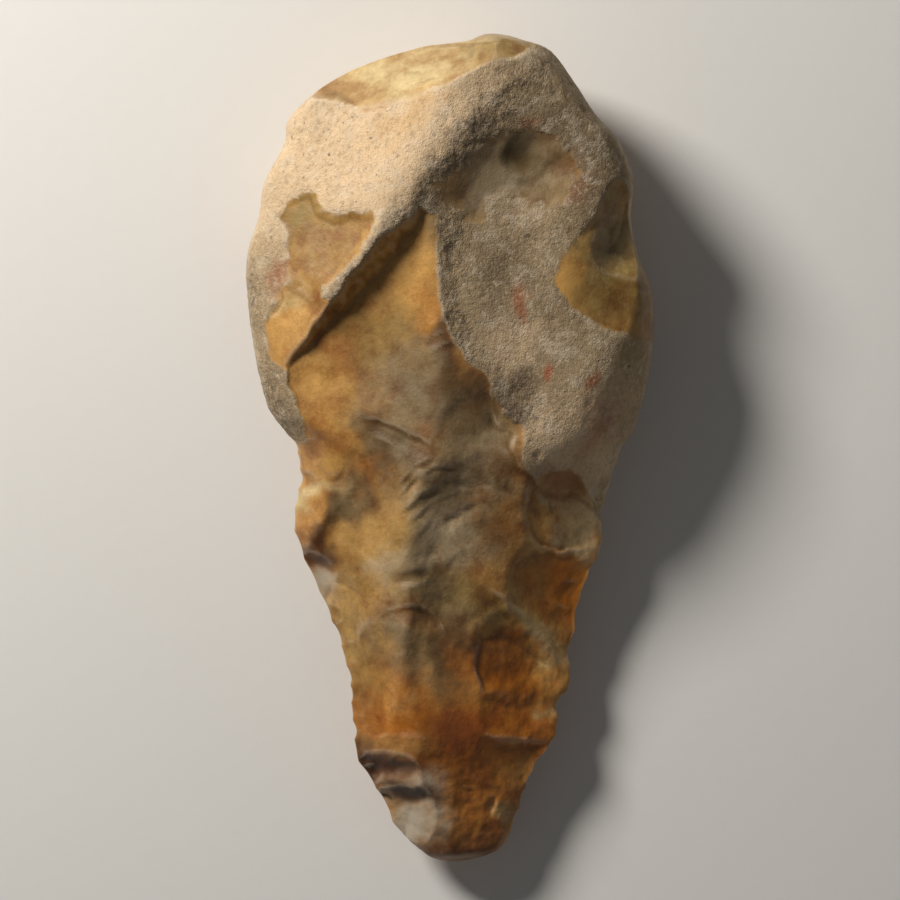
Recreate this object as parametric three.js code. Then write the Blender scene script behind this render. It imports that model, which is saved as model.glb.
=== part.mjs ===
// A flint hand axe: one large pointed biface, knapped from a nodule whose natural rind (cortex)
// still covers the butt. Millimetres, +Z up. The stone lies on the ridge of its back, butt towards
// +Y and point towards -Y, centred on X and Y, with its lowest facets on z = 0.
//
// The shape is worked out the way the stone was made. A smooth blank follows an outline and a few
// stations along its length; then each flake scar takes away whatever lies above its own shallow
// bowl. Heights are measured from the sharp edge that runs round the stone, and the whole is
// then raised so that the back lies level on the ground.
import * as THREE from 'three';

// ---- driving dimensions ----
const LENGTH = 200;
const BREADTH = 98.2;
const EDGE_HEIGHT = 17; // of the edge above the ground, half way along
const EDGE_CLIMB = 0.068; // rise of the edge for each millimetre towards the butt
const EDGE_SWAY = 1.2; // how far the edge wanders up and down
const EDGE_FADE = 12; // the sway dies out over this length at both ends
const RIND_LINE = 20; // the rind begins about here along the length
const CREST_WANDER = 0.05; // how far the crest wanders, as a share of the half width

// ---- how finely the faces are divided ----
const ROWS = 70;
const FRONT_COLUMNS = 38;
const BACK_COLUMNS = 24;
const END_CROWDING = 0.75; // 0 spaces the rows evenly, 1 crowds them most towards the two ends

// ---- how a scar meets the stone round it ----
const SOFTENING = 0.6; // rounding of the ridge that a scar leaves
const WALL = 1; // slope of the small wall at a scar's limit
const FEELER = 3; // distance over which the slope under a scar is felt
const MARGIN = 3; // a scar is never seated nearer than this to the edge

// The outline, clockwise from the top of the butt. Each point is the top of a bump or the bottom
// of a bite that the edge flaking left.
const OUTLINE = [
  [10, 99.8], [19, 97.4], [24.5, 95.2], [30, 88], [35, 80.3], [40.5, 74], [43.6, 67], [44.2, 62],
  [43.6, 55], [45.5, 46], [48.6, 38], [49.2, 28.5], [48, 18], [45, 6], [41, -2], [38.3, -10],
  [36.9, -17], [36.7, -24], [32, -34.5], [30.6, -43], [29.2, -49], [29.3, -56.5], [26.4, -62],
  [26, -68.5], [22.3, -74.5], [19, -80], [17, -87], [14.5, -93.2], [11.5, -97.3], [5, -99.4],
  [-1, -100], [-6.5, -97.7], [-13.5, -90.5], [-18.8, -80.5], [-22.5, -74.5], [-23.5, -66],
  [-24.2, -57], [-25.8, -49], [-28.9, -41], [-33, -31], [-37, -22.5], [-37.6, -15], [-36.2, -6],
  [-37.4, 1], [-43.5, 9.5], [-46.8, 22], [-48.8, 37], [-48.7, 47], [-46, 56], [-44.6, 64],
  [-39.8, 73], [-38.6, 79], [-31, 86.3], [-21, 91.6], [-8, 95.8], [2, 97],
];

// Stations along the length: how far the front swells above the edge and the back below it, how
// full each face is (1 is a straight-sided ridge, 2 is round, more is boxy) and how far the crest
// of the front stands to the right of the middle, as a share of the half width.
const STATIONS = [
  { y: -100, front: 0, back: 0, frontFullness: 2, backFullness: 2, crest: 0 },
  { y: -98.5, front: 3.4, back: 2.6, frontFullness: 2, backFullness: 2, crest: -0.1 },
  { y: -94, front: 6.2, back: 5, frontFullness: 1.7, backFullness: 1.7, crest: -0.2 },
  { y: -85, front: 9.4, back: 8.5, frontFullness: 1.45, backFullness: 1.7, crest: -0.3 },
  { y: -70, front: 12.6, back: 12, frontFullness: 1.3, backFullness: 1.8, crest: -0.36 },
  { y: -55, front: 14.6, back: 14.3, frontFullness: 1.25, backFullness: 2, crest: -0.38 },
  { y: -45, front: 15.6, back: 15, frontFullness: 1.25, backFullness: 2.1, crest: -0.34 },
  { y: -36, front: 16.4, back: 15.6, frontFullness: 1.25, backFullness: 2.15, crest: -0.24 },
  { y: -28, front: 17.2, back: 16.2, frontFullness: 1.27, backFullness: 2.15, crest: -0.28 },
  { y: -20, front: 18.2, back: 16.7, frontFullness: 1.35, backFullness: 2.2, crest: -0.18 },
  { y: -8, front: 21, back: 17.4, frontFullness: 1.5, backFullness: 2.25, crest: -0.1 },
  { y: 5, front: 25.5, back: 18.4, frontFullness: 1.8, backFullness: 2.3, crest: -0.1 },
  { y: 30, front: 34, back: 20.1, frontFullness: 2.3, backFullness: 2.4, crest: 0 },
  { y: 55, front: 38, back: 21.8, frontFullness: 2.4, backFullness: 2.4, crest: 0 },
  { y: 75, front: 37, back: 23, frontFullness: 2.4, backFullness: 2.4, crest: 0 },
  { y: 88, front: 32, back: 19, frontFullness: 2.3, backFullness: 2.3, crest: 0 },
  { y: 95, front: 23, back: 13, frontFullness: 2.2, backFullness: 2.2, crest: 0 },
  { y: 98.6, front: 12, back: 6.5, frontFullness: 2, backFullness: 2, crest: 0 },
  { y: 99.8, front: 0, back: 0, frontFullness: 2, backFullness: 2, crest: 0 },
];

// Scars, oldest first. Angles are in degrees, from +X towards +Y.
//   at, size, along   middle of the bowl, its half length and half width, and the way it runs
//   hollow            how much deeper the middle is than the rim
//   step              how far the rim lies below the surface it was struck from
//   lean              [way, angle]: the floor tips down that way from the surface it was cut from
//   faces, dip        instead of lean: the way the floor faces and its slope
//   floor             instead of step: the height of its middle above the edge
//   limit, wall       points that the scar stops at, and the slope of the small wall there
//   blend             rounding where it meets the rest
const FRONT_SCARS = [
  {
    name: 'rind_left', at: [-22, 70], size: [60, 60], along: 0, faces: 139, dip: 25, floor: 22.7,
    hollow: -2, blend: 5,
  },
  {
    name: 'rind_left_side', at: [-40, 35], size: [60, 60], along: 0, faces: 178, dip: 33,
    floor: 15.5, hollow: -2, blend: 8,
  },
  {
    name: 'rind_right', at: [15, 44], size: [62, 27], along: 78, faces: -25, dip: 7, floor: 19.5,
    hollow: 6, blend: 5,
  },
  {
    name: 'rind_hollow', at: [16, 63.5], size: [32, 15], along: 49, faces: -41, dip: 4, floor: 19.5,
    hollow: 6.8, blend: 3,
  },
  {
    name: 'rind_far_right', at: [38, 30], size: [60, 60], along: 0, faces: -5, dip: 19, floor: 18.4,
    hollow: -3, blend: 9,
  },
  {
    name: 'smooth_patch', at: [14, 68], size: [16, 9], along: 45, hollow: 0.4, step: 0.1, wall: 0.3,
    blend: 0.8, limit: [[3.5, 60], [7, 65], [10, 71], [14.5, 74.6], [19.5, 75.5], [23.6, 73],
    [24.4, 68.5], [21.5, 65], [17, 63], [12.5, 62.6], [9, 60.5], [6, 56.5]],
  },
  {
    name: 'dimple', at: [17.8, 69.8], size: [4.8, 4.2], along: 30, hollow: 1, step: 0.3, wall: 0.45,
    blend: 1.2, limit: [[22.4, 70.5], [20.4, 73.4], [17, 74], [14.2, 72], [13.4, 69], [15, 66.2],
    [18.4, 65.6], [21.4, 67.4]],
  },
  {
    name: 'butt_flake', at: [-6, 90.5], size: [16, 42], along: 100, faces: 115, dip: 52,
    floor: 16.2, hollow: 1.2, wall: 0.9, blend: 0.6, limit: [[-33, 87], [-30, 86], [-26, 84],
    [-20, 79.6], [-12, 82.2], [-5, 84.5], [0, 86.5], [5, 89.5], [10, 90.8], [15, 93], [20, 96],
    [22, 101], [8, 106], [-15, 104], [-35, 94]],
  },
  {
    name: 'butt_flake_right', at: [13, 95], size: [9, 14], along: 75, faces: 72, dip: 48,
    hollow: 0.8, step: 0.5, wall: 0.6, limit: [[8, 98.5], [6.5, 93], [10, 90.8], [15, 92.7],
    [20, 96], [22, 101], [8, 104]],
  },
  {
    name: 'window', at: [-27, 47], size: [17, 16], along: 60, hollow: 0.8, step: 0.7, lean: [60, 2],
    wall: 0.5, blend: 0.9, limit: [[-40, 55], [-37, 58.5], [-33, 59.5], [-32, 56], [-28, 53],
    [-23, 54], [-18.5, 54.3], [-24.4, 46.5], [-30, 38.8], [-32.5, 36], [-38, 38], [-38.5, 44],
    [-37, 50]],
  },
  {
    name: 'triangle', at: [-36.5, 30], size: [12, 9], along: 60, hollow: 0.6, step: 0.6,
    lean: [60, 3], wall: 0.5, blend: 0.9, limit: [[-38.5, 38], [-30, 34.5], [-36, 26], [-38.5, 18],
    [-43, 22], [-44, 30]],
  },
  {
    name: 'ochre', at: [-17, 25], size: [35, 22], along: 62, faces: 198, dip: 13, floor: 18.6,
    hollow: 1.5, wall: 1.5, blend: 1.2, limit: [[-3, 56], [-6, 56], [-10, 50], [-16, 43], [-22, 36],
    [-30, 28], [-38.5, 20], [-38, 15], [-36, 10], [-34, 2], [-32, -4], [-29, -6], [-25, -3],
    [-15, -12], [8, -6], [16, 0], [14.5, 4], [12, 7], [11, 11], [10, 15], [8, 18], [5, 19.8],
    [2, 24], [-1, 30], [-2.5, 36], [-3, 45]],
  },
  {
    name: 'right_olive', at: [39, 42], size: [19, 15], along: 70, hollow: 1, step: 0.9,
    lean: [135, 1], wall: 0.45, blend: 0.8, limit: [[43, 60.5], [38, 56], [31.5, 50.5],
    [26.5, 45.5], [25, 41], [27, 36], [33, 31.5], [39, 28.8], [47, 26], [54, 26], [54, 45],
    [48, 62]],
  },
  {
    name: 'right_olive_top', at: [43, 52], size: [9, 6], along: 70, hollow: 0.6, step: 0.3,
    lean: [180, 3], wall: 0.6, limit: [[43.2, 60], [41, 53], [39, 47.5], [46, 45.5], [52, 50],
    [50, 58]],
  },
  {
    name: 'grey_centre', at: [2, 2], size: [22, 16], along: 60, hollow: 0.4, step: 0.2,
    lean: [30, 2], wall: 0.5, blend: 2, limit: [[-4, 0.5], [0, 8], [5, 13], [10, 11], [12, 6],
    [15, 4], [16, -2], [19, -6], [21, -8], [10, -16], [-8, -8]],
  },
  {
    name: 'mid_left', at: [-21, -18], size: [20, 14], along: 50, hollow: 1.4, step: 0.5,
    lean: [-20, 4], wall: 0.25, blend: 2.4, limit: [[-22, 0], [-24, -2], [-25, -6], [-27, -9],
    [-31, -15], [-34, -22], [-38, -26], [-31, -30], [-20, -36], [-10, -32], [-9, -20], [-13, -10],
    [-18, -4]],
  },
  {
    name: 'arcs', at: [1, -23], size: [24, 14], along: 75, hollow: 1.4, step: 0.5, lean: [150, 2],
    wall: 0.35, blend: 1.8, limit: [[-13, -12], [-9, -14.5], [-3, -10.5], [3, -8.3], [8, -8],
    [12, -9], [17, -12], [19, -18], [18, -26], [14, -36], [4, -42], [-6, -40], [-12, -28],
    [-12, -20]],
  },
  {
    name: 'right_oval', at: [22, -17], size: [8, 4], along: -75, hollow: 0.5, step: 0.4,
    lean: [150, 4], wall: 0.5, blend: 0.7, limit: [[20, -9.5], [24, -12], [26, -18], [27, -24.5],
    [22, -23.5], [19, -19], [18.3, -13]],
  },
  {
    name: 'right_ochre', at: [30, -18], size: [9, 7], along: -80, hollow: 1, step: 0.9,
    lean: [150, 8], wall: 0.5, blend: 0.8, limit: [[22, -10], [25, -11.5], [29, -11], [33, -13],
    [37, -17], [39, -25], [30, -25.5], [27, -24], [26, -18]],
  },
  {
    name: 'right_orange', at: [26, -34], size: [14, 11], along: 110, hollow: 1.6, step: 0.8,
    lean: [150, 7], wall: 0.45, blend: 1.4, limit: [[20, -25], [28, -26], [40, -25], [36, -35],
    [34, -52], [27, -50], [20, -43], [15, -36], [16, -28]],
  },
  {
    name: 'centre_low', at: [-3, -55], size: [20, 10], along: 85, hollow: 1.3, step: 0.3,
    lean: [95, 2], wall: 0.3, blend: 1.6, limit: [[-13, -38.5], [-8, -37], [-4, -39], [0, -43],
    [2, -46], [7, -50], [8, -58], [8, -68], [2, -72], [-8, -71], [-12, -66], [-12, -50]],
  },
  {
    name: 'left_brown', at: [-25, -41], size: [10, 5], along: 100, hollow: 0.5, step: 0.4,
    lean: [20, 4], wall: 0.5, blend: 0.8, limit: [[-34, -33], [-26, -32], [-22, -34], [-22, -46],
    [-24.5, -49], [-30, -49]],
  },
  {
    name: 'white_chip', at: [-31, -31.5], size: [5, 4], along: 100, hollow: 0.4, step: 0.5,
    lean: [60, 5], wall: 0.8, limit: [[-37, -25.5], [-31, -28], [-28, -29], [-28.5, -34],
    [-31, -36], [-37, -33]],
  },
  {
    name: 'left_low', at: [-19, -58], size: [14, 7], along: 85, hollow: 0.8, step: 0.3,
    lean: [0, 3], wall: 0.4, blend: 1.2, limit: [[-30, -50], [-23, -47], [-17, -43], [-14, -48],
    [-14.5, -62], [-16, -69], [-30, -69]],
  },
  {
    name: 'oval_brown', at: [17, -54], size: [15, 10], along: -35, hollow: 1.1, step: 0.9,
    lean: [90, 4], wall: 0.5, blend: 1.2, limit: [[7.5, -45.5], [12, -44.5], [19, -49], [26, -53],
    [33, -58], [30, -62], [20, -65], [12, -63], [8, -57], [6.5, -51]],
  },
  {
    name: 'right_low', at: [18, -66], size: [10, 8], along: -10, hollow: 0.8, step: 0.3,
    lean: [150, 3], wall: 0.4, blend: 1.2, limit: [[9, -60], [18, -63], [30, -60], [30, -72],
    [24, -71.5], [17, -70.5], [10, -69], [8, -64]],
  },
  {
    name: 'right_neck', at: [15, -77], size: [10, 7], along: -10, hollow: 0.9, step: 0.6,
    lean: [85, 4], wall: 0.6, blend: 0.9, limit: [[9, -70], [17, -71.5], [28, -72], [24, -80],
    [16, -86], [8, -82], [5, -76]],
  },
  {
    name: 'point_band', at: [-14, -77.5], size: [9, 9], along: 90, hollow: 1, step: 1.9,
    lean: [85, 8], wall: 1, blend: 0.5, limit: [[-28, -75], [-20, -75.2], [-12, -75.6], [-7, -76],
    [-3, -78], [-2, -80], [-10, -81], [-20, -82]],
  },
  {
    name: 'point_right', at: [8, -88], size: [12, 9], along: 80, hollow: 0.6, step: 0.3,
    lean: [100, 3], wall: 0.4, blend: 1, limit: [[2, -80], [14, -82], [22, -84], [18, -94],
    [10, -102], [3, -97], [1, -88]],
  },
  {
    name: 'point_chip', at: [-9, -87], size: [10, 9], along: -105, hollow: 1.2, step: 2.1,
    lean: [165, 15], wall: 0.9, blend: 0.4, limit: [[-15.5, -84.5], [-12, -83.8], [-8, -83.4],
    [-4, -83.3], [-2.6, -84], [-2.2, -86], [-2.6, -89], [-3.8, -92], [-5.5, -95], [-8, -99],
    [-13, -97], [-20, -91], [-18, -86]],
  },
];

// The back is seen from below, so "floor" and "hollow" count downwards there.
const BACK_SCARS = [
  {
    name: 'back_butt_rind', at: [0, 86], size: [60, 60], along: 0, faces: 90, dip: 30, floor: 19,
    hollow: -3, blend: 6,
  },
  { name: 'back_left_high', at: [-32, 46], size: [27, 18], along: 160, hollow: 2.6, step: 0.6 },
  { name: 'back_right_high', at: [33, 52], size: [25, 17], along: 20, hollow: 2.6, step: 0.6 },
  { name: 'back_left_middle', at: [-30, 14], size: [24, 17], along: 172, hollow: 2.6, step: 0.9 },
  { name: 'back_right_middle', at: [31, 20], size: [24, 16], along: 8, hollow: 2.6, step: 0.9 },
  { name: 'back_left_waist', at: [-24, -16], size: [19, 13], along: 165, hollow: 2, step: 0.8 },
  { name: 'back_right_waist', at: [26, -8], size: [20, 13], along: 15, hollow: 2.2, step: 0.8 },
  { name: 'back_right_low', at: [21, -33], size: [17, 12], along: 18, hollow: 1.9, step: 0.8 },
  { name: 'back_left_low', at: [-18, -42], size: [16, 12], along: 160, hollow: 1.8, step: 0.8 },
  { name: 'back_right_neck', at: [17, -57], size: [14, 10], along: 25, hollow: 1.6, step: 0.7 },
  { name: 'back_left_neck', at: [-14, -66], size: [14, 11], along: 152, hollow: 1.6, step: 0.7 },
  { name: 'back_right_point', at: [11, -78], size: [13, 10], along: 35, hollow: 1.4, step: 0.7 },
  { name: 'back_point', at: [-3, -90], size: [11, 9], along: 100, hollow: 1.2, step: 0.6 },
  { name: 'back_butt_left', at: [-24, 79], size: [16, 13], along: 120, hollow: 2, step: 0.8 },
  { name: 'back_butt_right', at: [19, 84], size: [15, 13], along: 60, hollow: 2, step: 0.8 },
];

const radians = THREE.MathUtils.degToRad;

// ---- the outline as two sides, left and right, found by their place along the length ----
function sides() {
  const corners = OUTLINE.map(([x, y]) => new THREE.Vector3(x, y, 0));
  const curve = new THREE.CatmullRomCurve3(corners, true, 'catmullrom', 0.5);
  const pointsPerCorner = 24;
  const points = curve.getPoints(OUTLINE.length * pointsPerCorner).slice(0, -1);
  let top = 0;
  let bottom = 0;
  points.forEach((point, i) => {
    if (point.y > points[top].y) top = i;
    if (point.y < points[bottom].y) bottom = i;
  });
  const turned = [...points.slice(top), ...points.slice(0, top)];
  const turn = (bottom - top + points.length) % points.length;
  const upwards = (a, b) => a.y - b.y;
  return {
    right: turned.slice(0, turn + 1).sort(upwards),
    left: [...turned.slice(turn), turned[0]].sort(upwards),
  };
}

const SIDES = sides();
const POINT = SIDES.right[0];
const BUTT = SIDES.right[SIDES.right.length - 1];

function sideAt(side, y) {
  let low = 0;
  let high = side.length - 1;
  while (high - low > 1) {
    const middle = (low + high) >> 1;
    if (side[middle].y <= y) low = middle;
    else high = middle;
  }
  const share = (y - side[low].y) / (side[high].y - side[low].y);
  return THREE.MathUtils.lerp(side[low].x, side[high].x, THREE.MathUtils.clamp(share, 0, 1));
}

// ---- a smooth curve through the stations that never swings past them ----
function throughStations(name) {
  const gap = (i) => STATIONS[i + 1].y - STATIONS[i].y;
  const slope = (i) => (STATIONS[i + 1][name] - STATIONS[i][name]) / gap(i);
  const last = STATIONS.length - 1;
  const tangents = STATIONS.map((station, i) => {
    if (i === 0) return slope(0);
    if (i === last) return slope(last - 1);
    const before = slope(i - 1);
    const after = slope(i);
    const mean = (before * gap(i) + after * gap(i - 1)) / (gap(i - 1) + gap(i));
    const least = Math.min(Math.abs(before), Math.abs(after), Math.abs(mean) / 2);
    return (Math.sign(before) + Math.sign(after)) * least;
  });
  return (y) => {
    let i = 0;
    while (i < last - 1 && y > STATIONS[i + 1].y) i += 1;
    const t = THREE.MathUtils.clamp((y - STATIONS[i].y) / gap(i), 0, 1);
    const bend = t * (1 - t);
    const ease = t * t * (3 - 2 * t);
    return STATIONS[i][name] * (1 - ease) + STATIONS[i + 1][name] * ease
      + gap(i) * bend * (tangents[i] * (1 - t) - tangents[i + 1] * t);
  };
}

// The crest of the flaked part of the front wanders a little from side to side.
function crestWander(y) {
  const fade = THREE.MathUtils.clamp((LENGTH / 2 - Math.abs(y)) / EDGE_FADE, 0, 1)
    * THREE.MathUtils.clamp((RIND_LINE - y) / RIND_LINE, 0, 1);
  return fade * CREST_WANDER * (Math.sin(y / 5.5 + 1) + 0.6 * Math.sin(y / 2.9));
}

const crest = throughStations('crest');
const FACE = {
  front: {
    swell: throughStations('front'),
    fullness: throughStations('frontFullness'),
    crest: (y) => crest(y) + crestWander(y),
  },
  back: {
    swell: throughStations('back'),
    fullness: throughStations('backFullness'),
    crest: () => 0,
  },
};

// ---- the edge wanders a little up and down ----
function edgeSway(x, y) {
  const left = sideAt(SIDES.left, y);
  const right = sideAt(SIDES.right, y);
  const share = THREE.MathUtils.clamp((x - left) / Math.max(right - left, 0.001), 0, 1);
  const leftSway = Math.sin(y / 13 + 0.6) + 0.5 * Math.sin(y / 5.3);
  const rightSway = Math.sin(y / 11 + 2.4) + 0.5 * Math.sin(y / 6.1 + 1);
  const fade = THREE.MathUtils.clamp((LENGTH / 2 - Math.abs(y)) / EDGE_FADE, 0, 1);
  return EDGE_SWAY * fade * THREE.MathUtils.lerp(leftSway, rightSway, share);
}

// Height of the unflaked blank, out from the edge towards one face.
function blank(face, x, y) {
  const left = sideAt(SIDES.left, y);
  const right = sideAt(SIDES.right, y);
  const halfWidth = Math.max((right - left) / 2, 0.001);
  const crestAt = FACE[face].crest(y);
  const off = (x - (left + right) / 2) / halfWidth - crestAt;
  const across = Math.min(off > 0 ? off / (1 - crestAt) : -off / (1 + crestAt), 1);
  const fullness = FACE[face].fullness(y);
  const arch = (1 - across ** fullness) ** (1 / fullness);
  const sway = face === 'front' ? edgeSway(x, y) : -edgeSway(x, y);
  return THREE.MathUtils.lerp(sway, FACE[face].swell(y), arch);
}

// ---- scars ----
function distanceOutside(limit, x, y) {
  let nearest = Infinity;
  let inside = false;
  limit.forEach(([ax, ay], i) => {
    const [bx, by] = limit[(i + 1) % limit.length];
    const runX = bx - ax;
    const runY = by - ay;
    const share = ((x - ax) * runX + (y - ay) * runY) / (runX * runX + runY * runY);
    const t = THREE.MathUtils.clamp(share, 0, 1);
    nearest = Math.min(nearest, Math.hypot(x - ax - runX * t, y - ay - runY * t));
    if ((ay > y) !== (by > y) && x < ax + (runX * (y - ay)) / runY) inside = !inside;
  });
  return inside ? 0 : nearest;
}

function smoothLower(a, b, blend) {
  const overlap = Math.max(blend - Math.abs(a - b), 0) / blend;
  return Math.min(a, b) - (overlap * overlap * blend) / 4;
}

function scarHeight(scar, x, y) {
  const dx = x - scar.at[0];
  const dy = y - scar.at[1];
  const u = (dx * scar.run[0] + dy * scar.run[1]) / scar.size[0];
  const v = (dy * scar.run[0] - dx * scar.run[1]) / scar.size[1];
  const wall = scar.limit ? scar.wall * distanceOutside(scar.limit, x, y) : 0;
  const plane = scar.bottom + scar.slope[0] * dx + scar.slope[1] * dy;
  return plane + scar.hollow * (u * u + v * v) + wall;
}

function carved(face, scars, x, y) {
  let height = blank(face, x, y);
  for (const scar of scars) height = smoothLower(height, scarHeight(scar, x, y), scar.blend);
  return height;
}

const downhill = (way, angle) => [
  -Math.tan(radians(angle)) * Math.cos(radians(way)),
  -Math.tan(radians(angle)) * Math.sin(radians(way)),
];

// Seats one scar on what the scars before it have left.
function seat(face, scar, earlier) {
  const [x, y] = scar.at;
  const seated = { blend: SOFTENING, wall: WALL, step: 0, lean: [0, 0], ...scar };
  seated.run = [Math.cos(radians(scar.along)), Math.sin(radians(scar.along))];
  const middle = carved(face, earlier, x, y);
  seated.bottom = scar.floor ?? middle - scar.hollow - seated.step;
  if (scar.faces !== undefined) {
    seated.slope = downhill(scar.faces, scar.dip);
    return seated;
  }
  const low = sideAt(SIDES.left, y) + MARGIN + FEELER;
  const high = sideAt(SIDES.right, y) - MARGIN - FEELER;
  const inX = THREE.MathUtils.clamp(x, low, high);
  const feel = (px, py) => carved(face, earlier, px, py);
  const tip = downhill(...seated.lean);
  seated.slope = [
    (feel(inX + FEELER, y) - feel(inX - FEELER, y)) / (2 * FEELER) + tip[0],
    (feel(inX, y + FEELER) - feel(inX, y - FEELER)) / (2 * FEELER) + tip[1],
  ];
  return seated;
}

const seatAll = (face, scars) => scars.reduce(
  (seated, scar) => [...seated, seat(face, scar, seated)],
  [],
);

const front = seatAll('front', FRONT_SCARS);
const back = seatAll('back', BACK_SCARS);
const edgeHeight = (x, y) => EDGE_HEIGHT + EDGE_CLIMB * y + edgeSway(x, y);
const frontHeight = (x, y) => EDGE_HEIGHT + EDGE_CLIMB * y + carved('front', front, x, y);
const backHeight = (x, y) => Math.max(EDGE_HEIGHT + EDGE_CLIMB * y - carved('back', back, x, y), 0);

// ---- the closed surface: rings across the stone, and one point at each end ----
function handAxeGeometry() {
  const columns = FRONT_COLUMNS + BACK_COLUMNS;
  const middle = (BUTT.y + POINT.y) / 2;
  const reach = (BUTT.y - POINT.y) / 2;
  const vertices = [];
  for (let row = 1; row < ROWS; row += 1) {
    const even = (2 * row) / ROWS - 1;
    const crowded = -Math.cos((Math.PI * row) / ROWS);
    const y = middle + reach * THREE.MathUtils.lerp(even, crowded, END_CROWDING);
    const left = sideAt(SIDES.left, y);
    const right = sideAt(SIDES.right, y);
    for (let column = 0; column < columns; column += 1) {
      const onFront = column <= FRONT_COLUMNS;
      const turn = onFront ? column / FRONT_COLUMNS : 1 - (column - FRONT_COLUMNS) / BACK_COLUMNS;
      const x = (left + right) / 2 + ((right - left) / 2) * Math.cos(Math.PI * turn);
      const onEdge = column === 0 || column === FRONT_COLUMNS;
      const height = onFront ? frontHeight(x, y) : backHeight(x, y);
      vertices.push(x, y, onEdge ? edgeHeight(x, y) : height);
    }
  }
  const pointEnd = vertices.length / 3;
  vertices.push(POINT.x, POINT.y, edgeHeight(POINT.x, POINT.y));
  const buttEnd = pointEnd + 1;
  vertices.push(BUTT.x, BUTT.y, edgeHeight(BUTT.x, BUTT.y));

  const faces = [];
  const ring = (row, column) => row * columns + (column % columns);
  const height = (vertex) => vertices[3 * vertex + 2];
  for (let column = 0; column < columns; column += 1) {
    faces.push(pointEnd, ring(0, column), ring(0, column + 1));
    for (let row = 0; row < ROWS - 2; row += 1) {
      const a = ring(row, column);
      const b = ring(row, column + 1);
      const c = ring(row + 1, column + 1);
      const d = ring(row + 1, column);
      // Each cell folds along its more level diagonal, so ridges and steps stay unbroken.
      const foldsAlongAC = Math.abs(height(a) - height(c)) <= Math.abs(height(b) - height(d));
      if (foldsAlongAC) faces.push(a, d, c, a, c, b);
      else faces.push(a, d, b, b, d, c);
    }
    faces.push(buttEnd, ring(ROWS - 2, column + 1), ring(ROWS - 2, column));
  }
  const geometry = new THREE.BufferGeometry();
  geometry.setAttribute('position', new THREE.Float32BufferAttribute(vertices, 3));
  geometry.setIndex(faces);
  // The outline's curve swings a hair past its points, so the stone is brought to its exact size.
  geometry.computeBoundingBox();
  const size = geometry.boundingBox.getSize(new THREE.Vector3());
  const centre = geometry.boundingBox.getCenter(new THREE.Vector3());
  geometry.translate(-centre.x, -centre.y, 0);
  geometry.scale(BREADTH / size.x, LENGTH / size.y, 1);
  geometry.computeVertexNormals();
  return geometry;
}

const flint = new THREE.MeshStandardMaterial({ color: '#b4925f', roughness: 0.55, metalness: 0 });

const handAxe = new THREE.Mesh(handAxeGeometry(), flint);
handAxe.name = 'hand_axe';

const group = new THREE.Group();
group.add(handAxe);

export default group;
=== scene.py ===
"""A flint hand axe, laid out as a Blender add-on and run as a script.

The stone is worked out the way it was made. A smooth blank follows an outline and a few stations
along its length, each flake scar takes away what lies above its own shallow bowl, and creases, lips,
pockets and small edge chips finish the faces. A node tree then roughens the rind and the scars.
Lengths inside the shape code are millimetres; the mesh is made in metres.
"""

import math

import bpy
import numpy as np
from bpy.props import FloatProperty, FloatVectorProperty, IntProperty, PointerProperty
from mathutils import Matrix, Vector


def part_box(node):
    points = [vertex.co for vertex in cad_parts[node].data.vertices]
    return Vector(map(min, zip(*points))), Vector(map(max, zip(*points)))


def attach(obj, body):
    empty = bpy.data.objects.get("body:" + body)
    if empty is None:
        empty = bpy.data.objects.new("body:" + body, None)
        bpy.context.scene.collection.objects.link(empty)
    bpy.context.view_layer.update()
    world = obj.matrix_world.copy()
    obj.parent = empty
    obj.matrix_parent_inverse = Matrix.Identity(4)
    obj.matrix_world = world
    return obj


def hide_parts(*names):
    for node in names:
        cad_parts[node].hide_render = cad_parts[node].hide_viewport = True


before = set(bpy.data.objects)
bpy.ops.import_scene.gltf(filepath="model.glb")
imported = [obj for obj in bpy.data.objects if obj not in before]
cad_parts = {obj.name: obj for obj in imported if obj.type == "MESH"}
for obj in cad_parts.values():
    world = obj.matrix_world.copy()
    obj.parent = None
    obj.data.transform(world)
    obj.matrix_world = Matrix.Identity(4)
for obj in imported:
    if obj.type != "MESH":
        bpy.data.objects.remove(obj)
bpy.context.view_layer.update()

bl_info = {
    "name": "Flint Hand Axe",
    "version": (1, 0, 0),
    "blender": (4, 5, 0),
    "location": "View3D > Sidebar > Hand Axe",
    "description": "Builds a knapped flint hand axe and the plain stage it lies on",
    "category": "Object",
}

MM = 0.001
NODE = "hand_axe"
BODY = "root"
STONE_LOW, STONE_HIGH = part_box(NODE)
LENGTH = (STONE_HIGH.y - STONE_LOW.y) / MM
BREADTH = (STONE_HIGH.x - STONE_LOW.x) / MM

# ==== shape ====
# How high the edge stands over the board, how it climbs towards the butt and how far it sways.
EDGE_HEIGHT = 17.0
EDGE_CLIMB = 0.068
EDGE_SWAY = 1.2
EDGE_FADE = 12.0
# The crest of the front wanders a little below the rind, as a share of the half width.
RIND_LINE = 20.0
CREST_WANDER = 0.05
# The bites of the edge flaking: their spacing, depth, how far in they are felt and where they end.
BITE_SPACING = 5.6
BITE_DEPTH = 0.75
BITE_REACH = 4.0
BITE_LOWEST = 95.0
BITE_HIGHEST = 10.0
LEFT_TURN, RIGHT_TURN = 0.4, 2.1

# How softly scars meet, how steeply they climb outside their limits, and how far apart the slope
# under a scar is felt.
SOFTENING = 0.35
WALL = 1.0
FEELER = 3.0
MARGIN = 3.0
OUTLINE_STEPS = 24
LINE_STEPS = 5
TINY = 0.001

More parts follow.
